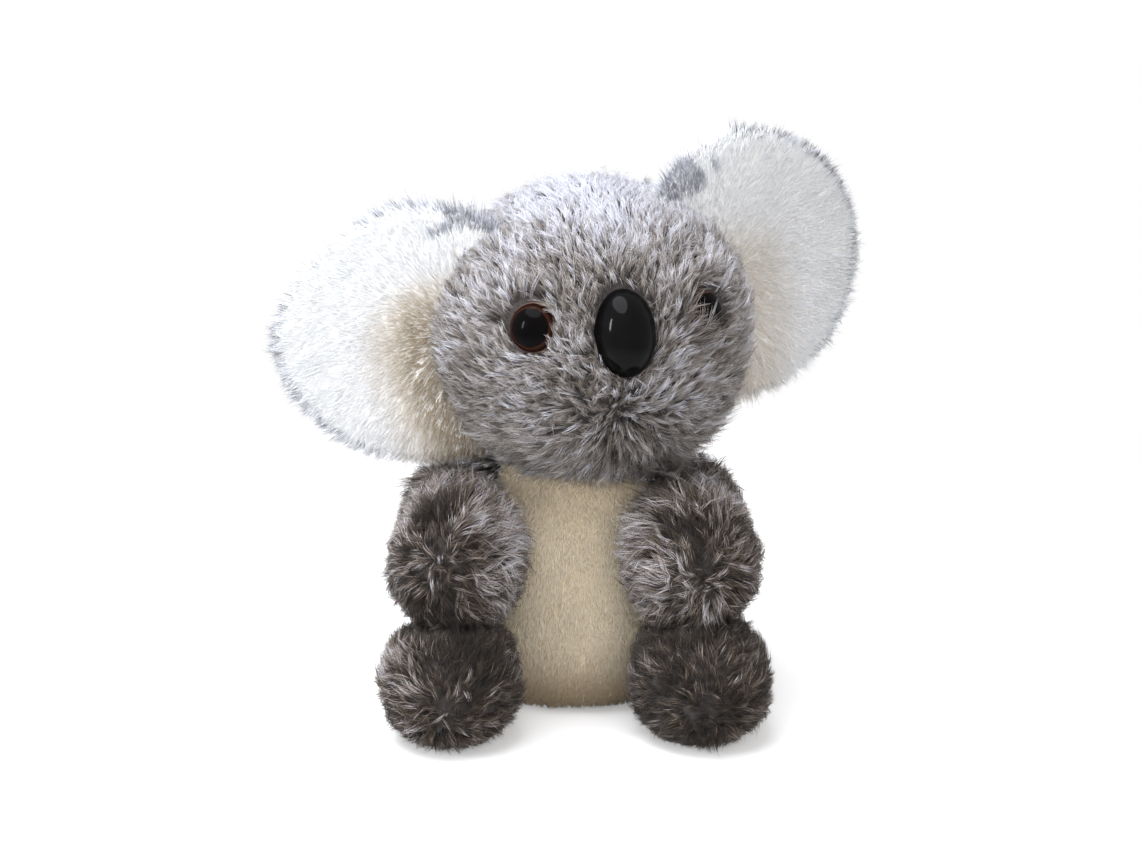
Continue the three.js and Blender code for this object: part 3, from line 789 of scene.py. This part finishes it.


# Limbs

# Dark and pale patches on a limb's pile: place, radius, tone. The dark ones lie where the pile parts and are
# partly painted shade there.
PATCHES = {
    "arm_left": [
        ((-37, -44, 65), 4.6, -.75), ((-31, -47, 64), 3.2, .4), ((-46, -50, 47), 4, -.2),
        ((-41, -52, 39), 4.5, -.35), ((-18, -46, 57), 7, .25), ((-25, -55, 47), 4, .15),
        ((-30, -30, 69), 4, .12), ((-49, -36, 56), 6, .3), ((-42, -30, 66), 6, .3),
    ],
    "arm_right": [
        ((28, -32, 67), 5, -.6), ((38, -30, 67), 6, .45), ((33, -50, 62), 4, -.4), ((33, -55, 53), 3.5, -.2),
        ((42, -53, 47), 4, -.3), ((25, -49, 60), 4, -.25), ((24, -54, 49), 5, .32), ((30, -54, 39), 5, .35),
        ((29, -48, 63), 2.5, .25), ((44, -41, 63), 4, .15),
    ],
    "leg_left": [
        ((-31, -58, 31), 6, -.35), ((-21, -57, 26), 5, -.25), ((-48, -55, 27), 6, .22),
        ((-43, -63, 21), 4, .12), ((-29, -65, 18), 5, -.22), ((-35, -66, 16), 4, .18),
        ((-53, -44, 22), 6, .3),
    ],
    "leg_right": [
        ((21, -50, 31), 4.5, -.35), ((24, -62, 22), 4, -.3), ((35, -61, 29), 3.5, .18),
        ((36, -64, 24), 4, -.22), ((44, -62, 21), 5, .16), ((35, -65, 8), 6, -.2),
    ],
}
PATCH_BLUR = 7
PATCH_STRENGTH = 1.5

# How far a limb's strand lies from its root to the place where its tip is seen
TIP_REACH = 3

# Where the pile of a limb turns all ways, on its paw
WHORLS = {
    "arm_left": (-39.0, -57.0, 50.5), "arm_right": (36.0, -57.0, 45.0),
    "leg_left": (-36.0, -66.0, 8.0), "leg_right": (36.0, -66.0, 8.0),
}


def patched(name, p):
    """Tone added at a place of a limb by its dark and pale patches."""
    total = np.zeros(len(p))
    for place, radius, tone in PATCHES[name]:
        away = ((p - np.array(place, float)) ** 2).sum(1)
        total += tone * np.exp(-away / (radius ** 2 + PATCH_BLUR))
    return total


def pressed(z, level, way):
    """Heights kept to one side of a level, with a soft bend where they reach it."""
    over = way * (z - level)
    bend = 2.0
    eased = np.where(over > bend, over, np.maximum(over + bend, 0) ** 2 / (4 * bend))
    return level + way * eased


def limb_points(root, paw, floor, roof, rows=44, columns=56):
    """A limb's cloth: swelling from its root ball to the paw, pressed flat between two levels."""
    (root_centre, root_radius), (paw_centre, paw_size) = root, paw
    root_centre, paw_centre = np.array(root_centre), np.array(paw_centre)
    axis = unit(paw_centre - root_centre)
    across = unit(np.cross(np.array([0, 0, 1.0]), axis))
    up = np.cross(axis, across)
    theta = np.linspace(0, math.pi, rows)
    phi = np.linspace(0, 2 * math.pi, columns, endpoint=False)
    st, ct = np.sin(theta)[:, None, None], np.cos(theta)[:, None, None]
    d = ct * axis + st * (np.cos(phi)[None, :, None] * across + np.sin(phi)[None, :, None] * up)
    d = d.reshape(-1, 3)

    def support(centre, size):
        stretched = d * size
        length = np.linalg.norm(stretched, axis=1, keepdims=True)
        return centre + d * size ** 2 / length, (centre * d).sum(1) + length[:, 0]

    at_root, root_reach = support(root_centre, np.full(3, root_radius) - LIMB_ROOM)
    at_paw, paw_reach = support(paw_centre, np.array(paw_size) - LIMB_ROOM)
    share = smooth(paw_reach - root_reach, -5, 5)[:, None]
    p = at_root * (1 - share) + at_paw * share
    p[:, 2] = pressed(p[:, 2], floor, 1)
    p[:, 2] = pressed(p[:, 2], roof, -1)
    return p, grid_faces(rows, columns, True)


# Ears

def ear_frame(name, side):
    """An ear's lift and sweep from the head's frame, and the place of its seam."""
    seam = np.array([side * EAR_SEAM[0], EAR_SEAM[1], EAR_SEAM[2]])
    return rot_y(-side * EAR_LIFTS[name]), rot_z(side * EAR_SWEEP), seam


def ear_panel(name, side, facing, shrink, thickness, rows=22, columns=72):
    """One panel of an ear as a closed, cupped lens, its hidden root laid inside the head. Head's frame."""
    theta = np.linspace(0, math.pi, rows)
    phi = np.linspace(0, 2 * math.pi, columns, endpoint=False)
    x = np.sin(theta)[:, None] * np.cos(phi)[None, :]
    z = np.sin(theta)[:, None] * np.sin(phi)[None, :]
    y = np.broadcast_to(np.cos(theta)[:, None], x.shape)
    slant = EAR_SLANTS[name] * np.maximum(0, side * x) * np.maximum(0, z)
    rise = np.maximum(0, facing * y) ** EAR_EDGE * thickness
    cup = EAR_CUP * (x ** 2 + z ** 2)
    px = x * (EAR_REACH - shrink) * (1 - slant) + side * EAR_CENTRE
    pz = z * (EAR_HALF_HEIGHT - shrink) * (1 - slant)
    py = facing * (SEAM / 2 + rise) - cup
    p = np.stack([px, py, pz], -1).reshape(-1, 3)
    lift, sweep, seam = ear_frame(name, side)
    centre = -seam @ sweep
    room = EAR_CLIP ** 2 - (p[:, 1] - centre[1]) ** 2 - (p[:, 2] - centre[2]) ** 2
    edge = centre[0] + side * np.sqrt(np.maximum(room, 0))
    p[:, 0] = np.where(room > 0, side * np.maximum(side * p[:, 0], side * edge), p[:, 0])
    return (p @ sweep.T + seam) @ lift.T, grid_faces(rows, columns, True)


# Making the pieces

def style(**changes):
    """Measures of a pile, in millimetres, radians and shares: those of the head's, with changes."""
    usual = dict(
        per_clump=9, swirl=.26, swirl_scale=16, clump_turn=.3, length=5.2, length_spread=.14, patch=.06,
        lean=(.85, 1.42), clump_tone=.17, strand_tone=.07, clump_radius=.8, gather=.34, bend=.45,
        stray=.05, width=.18, spacing=1.18, sunk=.6,
    )
    return SimpleNamespace(**{**usual, **changes})


def pile(name, verts, faces, body, node, material, flow, fur, keep, shade, extent=None, lie=None,
         after=None):
    """Grows the pile of one panel and hangs it on its body, in bands from low to high, each a light mesh."""
    rng = np.random.default_rng(fur.seed * 101 + len(name))
    roots, normals = scatter(verts, triangles(faces), fur.spacing, rng, keep)
    points, shades, widths = grow(roots, normals, flow(roots, normals), fur, rng, shade, extent, lie)
    alive = np.ones(len(shades), bool)
    if after is not None:
        points, alive = after(points, alive)
    order = np.nonzero(alive)[0]
    order = order[np.argsort(points[0][order, 2])]
    bands = -(-len(order) * STRAND_TRIANGLES // MESH_TRIANGLES)
    for band, chosen in enumerate(np.array_split(order, bands), 1):
        rings = [q[chosen] for q in points]
        mesh = strand_mesh(f"{name}_{band}", rings, shades[chosen], widths[chosen], material, rng)
        hang(mesh, body, node)


def cloth(name, verts, faces, body, node, slot, material, fill):
    """The backing cloth of one panel, a stuffed piece."""
    obj = make_object(name, verts, faces, material)
    hang(obj, body, node)


def away_from(point, droop, ruffle=0.0, seed=0):
    """A flow away from a point, with some of it down, and ruffled, which shows most near the point."""
    waves = [Ripples(2, seed + k) for k in range(3)]

    def flow(p, n):
        push = np.stack([wave(p) for wave in waves], -1) * ruffle
        return in_surface(unit(p - point + push) + np.array([0, 0, -droop]), n)
    return flow


def downward(p, n):
    return in_surface(np.tile(np.array([0, -.05, -1.0]), (len(p), 1)), n)


def above(level):
    """Keeps strands from going under a level, laying them flat there."""
    def after(points, keep):
        for k in range(1, len(points)):
            low = points[k][:, 2] < level
            points[k][low, 2] = level + .02 * (level - points[k][low, 2])
        return points, keep
    return after


def make_head():
    tint = Ripples(34, 91)

    def shade(p):
        d = unit(head_local(p))
        # Painted light: the pile is paler over the top of the head, where the light falls.
        top = smooth(d[:, 2], .53, .98)
        # Painted shade: darker low on the head and under the chin.
        low = smooth(-d[:, 2], -.1, .8)
        # Painted shade round the eyes, where the pile is shorter.
        eyes = sum(smooth(9.5 - size_of(head_local(p) - PLACES[name][0]), 0, 4)
                   for name in ("eye_left", "eye_right"))
        # Painted shade in a thin ring round the nose.
        rim = smooth(1.42 - from_nose(head_local(p))[1], 0, .25)
        return .02 + .52 * top - .19 * low + .08 * tint(p) - .16 * eyes - .2 * rim

    def keep(p):
        return head_local(p)[:, 2] > NECK_CUT

    for name, (verts, faces) in head_panels().items():
        drop = HEAD_SEAM_DEPTH * np.exp(-(seam_distance(verts) / HEAD_SEAM_WIDTH) ** 2)
        verts = verts * (1 - drop / HEAD_CLOTH)[:, None]
        world = head_world(verts)
        cloth(name + "_cloth", *shell(world, faces, CLOTH), "head", name, "grey_pile", GREY_CLOTH, .9)
        fur = style(seed=11 + len(name), spacing=1.08, width=.168, clump_tone=.21)
        pile(name + "_pile", world, faces, "head", name, HEAD_PILE, head_flow, fur,
             keep, shade, head_extent, head_lie, clear_of_face)


def belly_shade(p):
    # Painted shade: darker low on the belly and high up under the chin.
    return .05 - .34 * smooth(24 - p[:, 2], 0, 22) - .1 * smooth(p[:, 2], 50, 68)


def beside_belly(p):
    """How near a place on the body's side is to the belly panel, high up where the pile laps over it."""
    gap = np.abs(p[:, 0] - BODY_LEAN * p[:, 2] / BODY_HEIGHT) - belly_half(p[:, 2])
    return smooth(8 - gap, 0, 6) * smooth(p[:, 2], 36, 52) * (p[:, 1] < 0)


def side_flow(p, n):
    inward = -np.sign(p[:, 0]) * .8 * beside_belly(p)
    return in_surface(np.stack([inward, np.full(len(p), -.05), np.full(len(p), -1.0)], -1), n)


def side_extent(p):
    return 1 + .15 * beside_belly(p) + .3 * smooth(p[:, 2], 56, 66)


def side_lie(p):
    return 1 - .5 * smooth(p[:, 2], 56, 66)


def side_shade(p):
    # Painted shade: darker lower on the body's sides. Painted light near the neck, paler to lift the shade
    # under the chin.
    return .06 + .12 * smooth(p[:, 2], 20, 60) + .3 * smooth(p[:, 2], 54, 62)


def body_keep(p):
    """True where the body's pile grows: clear of the head and of what the toy sits on."""
    return (size_of(p - HEAD_CENTRE) > NECK_SEAT + .1) & (p[:, 2] > BODY_PILE_ROOT)


def make_body():
    rows = 64
    for part, columns in (("belly", 44), ("left", 60), ("right", 60)):
        belly = part == "belly"
        verts, faces, t = body_patch(-BELLY_ROOM if belly else -SIDE_ROOM, part, rows, columns)
        edge = np.minimum(t, 1 - t).ravel()
        drop = BODY_SEAM_DEPTH * np.tile(np.exp(-(edge * columns / BODY_SEAM_COLUMNS) ** 2), rows)
        verts = verts - vertex_normals(verts, triangles(faces)) * drop[:, None]
        verts[:, 2] = np.maximum(verts[:, 2], SEAT_GAP)
        from_head = verts - HEAD_CENTRE
        reach = size_of(from_head)
        under = reach < NECK_SEAT
        verts[under] = HEAD_CENTRE + from_head[under] * (NECK_SEAT / reach[under])[:, None]
        faces = turned_outward(verts, faces, [0, 0, BODY_HEIGHT / 2])
        name = "belly_panel" if belly else f"body_cover_{part}"
        slot = "cream_pile" if belly else "grey_pile"
        cloth(name + "_cloth", *shell(verts, faces, CLOTH), "body", name, slot,
              CREAM_CLOTH if belly else GREY_CLOTH, .85)
        if belly:
            fur = style(seed=31, length=2.3, spacing=.78, per_clump=5, clump_radius=.7, width=.17,
                        lean=(.8, 1.3), gather=0, clump_turn=.12, clump_tone=.01, strand_tone=.01, swirl=.1,
                        stray=.03, patch=.03, bend=.2, sunk=.27)
            pile("belly_panel_pile", verts, faces, "body", name, CREAM_PILE, downward, fur,
                 body_keep, belly_shade, after=above(BODY_PILE_FLOOR))
        else:
            fur = style(seed=37 + len(part), length=6.6, spacing=1.36, width=.22)
            pile(name + "_pile", verts, faces, "body", name, LIMB_PILE_SHADED, side_flow, fur,
                 body_keep, side_shade, side_extent, side_lie, above(BODY_PILE_FLOOR))


def mirrored(part, side):
    centre, size = part
    return (centre[0] * side, centre[1], centre[2]), size


def make_limb(kind, side_name, side):
    arm = kind == "arm"
    root, paw = (mirrored(limb, side) for limb in ((ARM_ROOT, ARM_PAW) if arm else (LEG_ROOT, LEG_FOOT)))
    name = f"{kind}_{side_name}"
    levels = (ARM_REST + ARM_GAP, ARM_TOP) if arm else (FOOT_GAP, FOOT_TOP - FOOT_TOP_GAP)
    verts, faces = limb_points(root, paw, *levels)
    faces = turned_outward(verts, faces, verts.mean(0))
    cloth(f"{name}_cloth", verts, faces, name, f"{name}_cover", "grey_pile", GREY_CLOTH, .8)
    whorl = np.array(WHORLS[name])

    def keep(p):
        inside = size_of(p - np.array(root[0])) < root[1] - 2
        deep = np.hypot(p[:, 0] / 33, (p[:, 1] + 1) / 28) < 1
        return ~(inside & deep)

    parting = Ripples(12, 200 + 7 * arm + (side > 0))
    mottle = Ripples(5, 220 + 7 * arm + (side > 0))

    def shade(p):
        # Painted shade: darker low on the limb.
        low = smooth((60 if arm else 26) - p[:, 2], 0, 26)
        waves = parting(p)
        # Darker in pockets where the pile parts, partly painted shade there, and paler between them.
        pockets = smooth(waves, .5, 1.3)
        pale = smooth(-waves, .2, 1.3)
        centre = smooth(4.5 - size_of(p - whorl), -3, 0) if arm else 0
        inner = smooth(31 - np.abs(p[:, 0]), 0, 9)
        # Painted light: paler on the outer sides, where the fur is lit from behind.
        outer = smooth(np.abs(p[:, 0]), 46, 54)
        # Painted light: the arms are paler on top. Painted shade: the legs are darker over the foot's top,
        # under the arm.
        if arm:
            tone = (-.2 if side < 0 else -.14) + .14 * smooth(p[:, 2], 60, 68) + .26 * inner
        else:
            tone = (-.25 if side < 0 else -.37) - .1 * smooth(p[:, 2], 18, 30) + .06 * inner
        tips = p + TIP_REACH * unit(p - whorl)
        return (tone - .12 * low - .24 * pockets + .16 * pale + .2 * centre + .2 * outer + .09 * mottle(p)
                + PATCH_STRENGTH * patched(name, tips))

    def extent(p):
        parted = 1 - .35 * smooth(parting(p), .7, 1.5)
        if not arm:
            return parted * (1 - .45 * smooth(9 - p[:, 2], 0, 7))
        inner = smooth(34 - np.abs(p[:, 0]), 0, 12) * smooth(p[:, 2], 44, 56)
        return parted * (1 + .45 * smooth(p[:, 2], 56, 64) + .5 * inner)

    def lie(p):
        return .45 + .55 * smooth(size_of(p - whorl), 3, 10)

    fur = style(seed=51 + 3 * arm + (side > 0), length=6.0 if arm else 5.5, length_spread=.1, spacing=1.06,
                lean=(.98, 1.52), gather=.18, clump_radius=.95, clump_turn=.34, swirl=.3, swirl_scale=14,
                clump_tone=.21, strand_tone=.18, width=.148, stray=.045)
    pile(f"{name}_pile", verts, faces, name, f"{name}_cover", LIMB_PILE_SHADED,
         away_from(whorl, .15, 4.5, 500), fur, keep, shade, extent, lie,
         above(ARM_REST - ARM_PILE_HANG if arm else LEG_PILE_FLOOR))


def on_ear(name, side, p):
    """Place on an ear: shares of its reach outward and upward from its middle, and of the way to its rim."""
    lift, sweep, seam = ear_frame(name, side)
    q = (head_local(p) @ lift - seam) @ sweep
    out = (side * q[:, 0] - EAR_CENTRE) / EAR_REACH
    up = q[:, 2] / EAR_HALF_HEIGHT
    slant = 1 - EAR_SLANTS[name] * np.maximum(0, out) * np.maximum(0, up)
    return out, up, np.hypot(out, up) / slant


def make_ear(side_name, side):
    lift, sweep, seam = ear_frame(side_name, side)
    base = head_world((lift @ (seam * (.7, 1, 1)))[None, :])[0]
    body = f"ear_{side_name}"
    patches = Ripples(11, 300 + (side > 0))

    def keep(p):
        return size_of(head_local(p)) > HEAD_CLOTH - .2

    def front_shade(p):
        out, up, rim = on_ear(side_name, side, p)
        from_head = size_of(p - HEAD_CENTRE)
        low = 1 - smooth(up, -.05, .6)
        # Painted shade in the ear's lower hollow next to the head, tan to brown; on the left ear it is
        # darkest right beside the head.
        hollow = smooth(74 - from_head, 0, 28) * low
        painted_hollow_shade = .35 * hollow + .22 * smooth(57 - from_head, 0, 10) * low if side < 0 else .27 * hollow
        corner = smooth(62 - from_head, 0, 14) * smooth(up, .45, .8) * smooth(patches(p), -1.2, .2)
        wisps = smooth(smooth(rim, .84, .97) * smooth(patches(p), -.4, .8) * smooth(out, -.2, .2), .35, .5)
        # A soft grey band inside the rim: partly the grey of the back's pile reaching round, partly painted
        # shade.
        soft = .13 * smooth(rim, .8, .95) * smooth(out, .1, .6) if side > 0 else .19 * smooth(rim, .85, .95)
        grey = np.maximum(np.maximum(soft, .22 * wisps), .165 * smooth(corner, .3, .5))
        return .2 - painted_hollow_shade + grey * (1 - smooth(hollow, 0, .3))

    def back_shade(p):
        return .1 + .2 * smooth(on_ear(side_name, side, p)[2], .75, .95)

    def front_extent(p):
        out, up, rim = on_ear(side_name, side, p)
        return 1 + smooth(rim, .8, 1) * ((.45 if side > 0 else .25) - .5 * up * smooth(out, 0, .5))

    def back_extent(p):
        return 1 - .35 * smooth(on_ear(side_name, side, p)[2], .8, 1)

    front = style(seed=71 + (side > 0), length=3.4, spacing=.82, per_clump=6, width=.16, lean=(1.18, 1.52),
                  gather=0, swirl=.08, clump_turn=.12, clump_radius=.9, clump_tone=.02, strand_tone=.02,
                  stray=.04, patch=.02, bend=.2, sunk=.27)
    back = style(seed=81 + (side > 0), length=5.0, lean=(1.0, 1.45), width=.21, per_clump=7)
    for part, facing, shrink, thickness, backing, slot, hairs, fur, shade, extent in (
        ("front", -1, 2.3, 5.0, WHITE_CLOTH, "white_pile", WHITE_PILE, front, front_shade, front_extent),
        ("back", 1, 3.8, 3.2, GREY_CLOTH, "grey_pile", HEAD_PILE, back, back_shade, back_extent),
    ):
        name = f"ear_{side_name}_{part}"
        verts, faces = ear_panel(side_name, side, facing, shrink, thickness)
        world = head_world(verts)
        faces = turned_outward(world, faces, world.mean(0))
        cloth(f"{name}_cloth", world, faces, body, name, slot, backing, .5)
        out = HEAD_TURNED @ lift @ sweep @ np.array([0, facing, 0.0])
        outside = vertex_normals(world, triangles(faces))[faces[:, 0]] @ out > .05
        pile(f"{name}_pile", world, faces[outside], body, name, hairs, away_from(base, .05), fur,
             keep, shade, extent)


# Moulded face

def dome_mesh(half_width, half_height, rise, skirt=.8, sides=96, rows=28):
    """An oval dome, its own +Z outward, with a short skirt under its rim and a flat back."""
    rings = [(0.0, -skirt), (.97, -skirt), (1.0, -skirt * .4)]
    for row in range(rows + 1):
        angle = row / rows * math.pi / 2
        rings.append((math.cos(angle), rise * math.sin(angle)))
    phi = np.linspace(0, 2 * math.pi, sides, endpoint=False)
    points = np.array([
        [(a * half_width * math.cos(f), a * half_height * math.sin(f), h) for f in phi] for a, h in rings])
    return points.reshape(-1, 3), grid_faces(len(rings), sides, True)


def face_matrix(name):
    seat, axes = PLACES[name]
    matrix = Matrix.Identity(4)
    turned = HEAD_TURNED @ axes.T
    for r in range(3):
        for c in range(3):
            matrix[r][c] = turned[r, c]
    matrix.translation = Vector(head_world(seat[None, :])[0] * MM)
    return matrix


def glossy(tree, shader, colour, coat, **more):
    """Polished plastic: a dull body under a thin clear coat."""
    feed(tree, shader, {
        "Base Color": colour, "Roughness": .4, "Specular IOR Level": .01, "Coat Weight": coat,
        "Coat Roughness": .08, "Coat IOR": 1.5, **more,
    })


def eye_material():
    """A glossy dome: a black pupil, a thin brown iris and a pale edge, by the distance from its middle. The
    pale edge is painted light, for the light caught in the clear rim.
    """
    material, tree, shader = new_material("eye")
    place = object_place(tree)
    flat = add(tree, "VectorMath", {0: place, 1: (1, 1, 0)}, operation="MULTIPLY").outputs["Vector"]
    length = add(tree, "VectorMath", {0: flat}, operation="LENGTH").outputs["Value"]
    fleck = add(tree, "TexNoise", {"Scale": 2600, "Vector": place}).outputs["Fac"]
    share = calc(tree, "MULTIPLY_ADD", fleck, .03, calc(tree, "MULTIPLY", length, 1 / (EYE_RADIUS * MM)))
    # The last two stops paint the pale edge: painted light caught in the clear rim.
    stops = palette(
        (.0, 4, 4, 5), (.74, 7, 5, 5), (.78, 52, 29, 20), (.83, 44, 22, 15),
        (.88, 24, 11, 8), (.93, 34, 16, 12), (.955, 110, 88, 78), (1.0, 150, 130, 120))
    glossy(tree, shader, ramp(tree, stops, share), .06)
    return material


def nose_material():
    """Glossy black plastic with a faint orange-peel surface."""
    material, tree, shader = new_material("nose_plastic")
    noise = add(tree, "TexNoise", {"Scale": 260, "Detail": 3, "Vector": object_place(tree)}).outputs["Fac"]
    colour = ramp(tree, palette((.3, 5, 5, 6), (.75, 11, 10, 11)), noise)
    glossy(tree, shader, colour, .14, Normal=bump(tree, noise, .00008, .35))
    return material


def make_face():
    eye, nose = eye_material(), nose_material()
    for name, _, _, half_width, half_height, rise in FACE:
        material, slot = (nose, "nose_plastic") if name == "nose" else (eye, "eye_plastic")
        obj = make_object(name + "_dome", *dome_mesh(half_width, half_height, rise), material)
        obj.matrix_world = face_matrix(name)
        hang(obj, "head", name)


# Inner pieces

def dress_inner():
    chosen = {
        "filling": speckled_material("filling_fibre", (228, 226, 220), (248, 247, 244), 700, .95, .0006),
        "bead_bag": speckled_material("bead_bag_cloth", (196, 196, 202), (226, 226, 230), 420, .85, .0005),
        "washer": speckled_material("washer_plastic", (224, 224, 220), (238, 238, 235), 200, .45, .00004),
        "thread": speckled_material("sewing_thread", (66, 60, 58), (108, 101, 98), 2600, .8, .0002),
    }
    for name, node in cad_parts.items():
        for key, material in chosen.items():
            if name.endswith(key):
                node.data.materials.clear()
                node.data.materials.append(material)


# Studio

# Name, place, aim, size, power, colour, and whether gloss mirrors it
LAMPS = [
    ("window", (-.85, -.40, .38), (0, 0, .09), (.1, .4), 5.1, (.94, .96, 1), True),
    ("front", (.35, -.95, .65), (0, 0, .07), (1.0, 1.0), 5.6, (1, .97, .94), False),
    ("top", (-.25, -.12, .98), (0, 0, .08), (1.1, .8), 13.8, (.94, .955, 1), True),
]
AMBIENT = .36
WHITE = (1, 1, 1, 1)
FLOOR_HALF = 3.0
FLOOR_DROP = .0003
FLOOR_GREY = (.86, .86, .86, 1)
FLOOR_GLOW = .32
FLOOR_FADE = (.12, .34)
CAMERA_AIM = (-.0006, 0, .0749)
CAMERA_VIEW = (math.radians(-1), math.radians(15))
CAMERA_DISTANCE = .75
CAMERA_LENS = 84.0


def light(name, place, aim, size, power, colour, mirrored_in_gloss):
    data = bpy.data.lights.new(name, "AREA")
    data.shape = "ELLIPSE"
    data.size, data.size_y = size
    data.energy = power
    data.color = colour
    obj = bpy.data.objects.new(name, data)
    obj.location = place
    obj.visible_glossy = mirrored_in_gloss
    obj.rotation_euler = (Vector(aim) - Vector(place)).to_track_quat("-Z", "Y").to_euler()
    bpy.context.scene.collection.objects.link(obj)


def direct_rays(tree):
    """1 for rays from the camera, straight or by way of gloss or glass, and 0 for those that light things."""
    path = add(tree, "LightPath", {}).outputs
    direct = calc(tree, "MAXIMUM", path["Is Camera Ray"], path["Is Glossy Ray"])
    return calc(tree, "MAXIMUM", direct, path["Is Transmission Ray"])


def mixed(tree, share, first, second):
    return add(tree, "MixShader", {"Fac": share, 1: first, 2: second}).outputs[0]


def make_world():
    """Soft light from all round, which the camera and gloss see as white."""
    world = bpy.data.worlds.new("studio")
    bpy.context.scene.world = world
    world.use_nodes = True
    tree = world.node_tree
    tree.nodes.clear()
    ambient, white = (
        add(tree, "Background", {"Color": WHITE, "Strength": power}).outputs[0] for power in (AMBIENT, 1))
    add(tree, "OutputWorld", {"Surface": mixed(tree, direct_rays(tree), ambient, white)})


def floor_material():
    """A pale floor that keeps the shadow near the toy and fades to white away from it."""
    material = bpy.data.materials.new("floor")
    material.use_nodes = True
    tree = material.node_tree
    tree.nodes.clear()
    direct = direct_rays(tree)
    diffuse = add(tree, "BsdfDiffuse", {"Color": FLOOR_GREY}).outputs[0]
    seen = calc(tree, "MULTIPLY", direct, FLOOR_GLOW)
    glow = add(tree, "Emission", {"Color": WHITE, "Strength": seen}).outputs[0]
    lit = add(tree, "AddShader", {0: diffuse, 1: glow}).outputs[0]
    white = add(tree, "Emission", {"Color": WHITE}).outputs[0]
    away = add(tree, "VectorMath", {0: object_place(tree)}, operation="LENGTH").outputs["Value"]
    reach = {"From Min": FLOOR_FADE[0], "From Max": FLOOR_FADE[1], "Value": away}
    fade = add(tree, "MapRange", reach, interpolation_type="SMOOTHSTEP").outputs["Result"]
    share = calc(tree, "MULTIPLY", fade, direct)
    add(tree, "OutputMaterial", {"Surface": mixed(tree, share, lit, white)})
    return material


def make_floor():
    mesh = bpy.data.meshes.new("floor")
    corners = [(x * FLOOR_HALF, y * FLOOR_HALF, 0) for x, y in ((-1, -1), (1, -1), (1, 1), (-1, 1))]
    mesh.from_pydata(corners, [], [(0, 1, 2, 3)])
    mesh.materials.append(floor_material())
    floor = bpy.data.objects.new("floor", mesh)
    floor.location = (0, 0, -FLOOR_DROP)
    bpy.context.scene.collection.objects.link(floor)


def make_camera():
    back = Vector(outward(*CAMERA_VIEW))
    camera = bpy.data.objects.new("camera", bpy.data.cameras.new("camera"))
    camera.data.lens = CAMERA_LENS
    camera.data.sensor_width = 36
    camera.data.clip_start, camera.data.clip_end = .01, 20
    camera.location = Vector(CAMERA_AIM) + back * CAMERA_DISTANCE
    camera.rotation_mode = "QUATERNION"
    camera.rotation_quaternion = (-back).to_track_quat("-Z", "Y")
    bpy.context.scene.collection.objects.link(camera)
    bpy.context.scene.camera = camera


make_head()
make_body()
for side_name, side in SIDES:
    make_limb("arm", side_name, side)
    make_limb("leg", side_name, side)
    make_ear(side_name, side)
make_face()
dress_inner()

for lamp in LAMPS:
    light(*lamp)
make_world()
make_floor()
make_camera()
bpy.context.scene.view_settings.view_transform = "Standard"
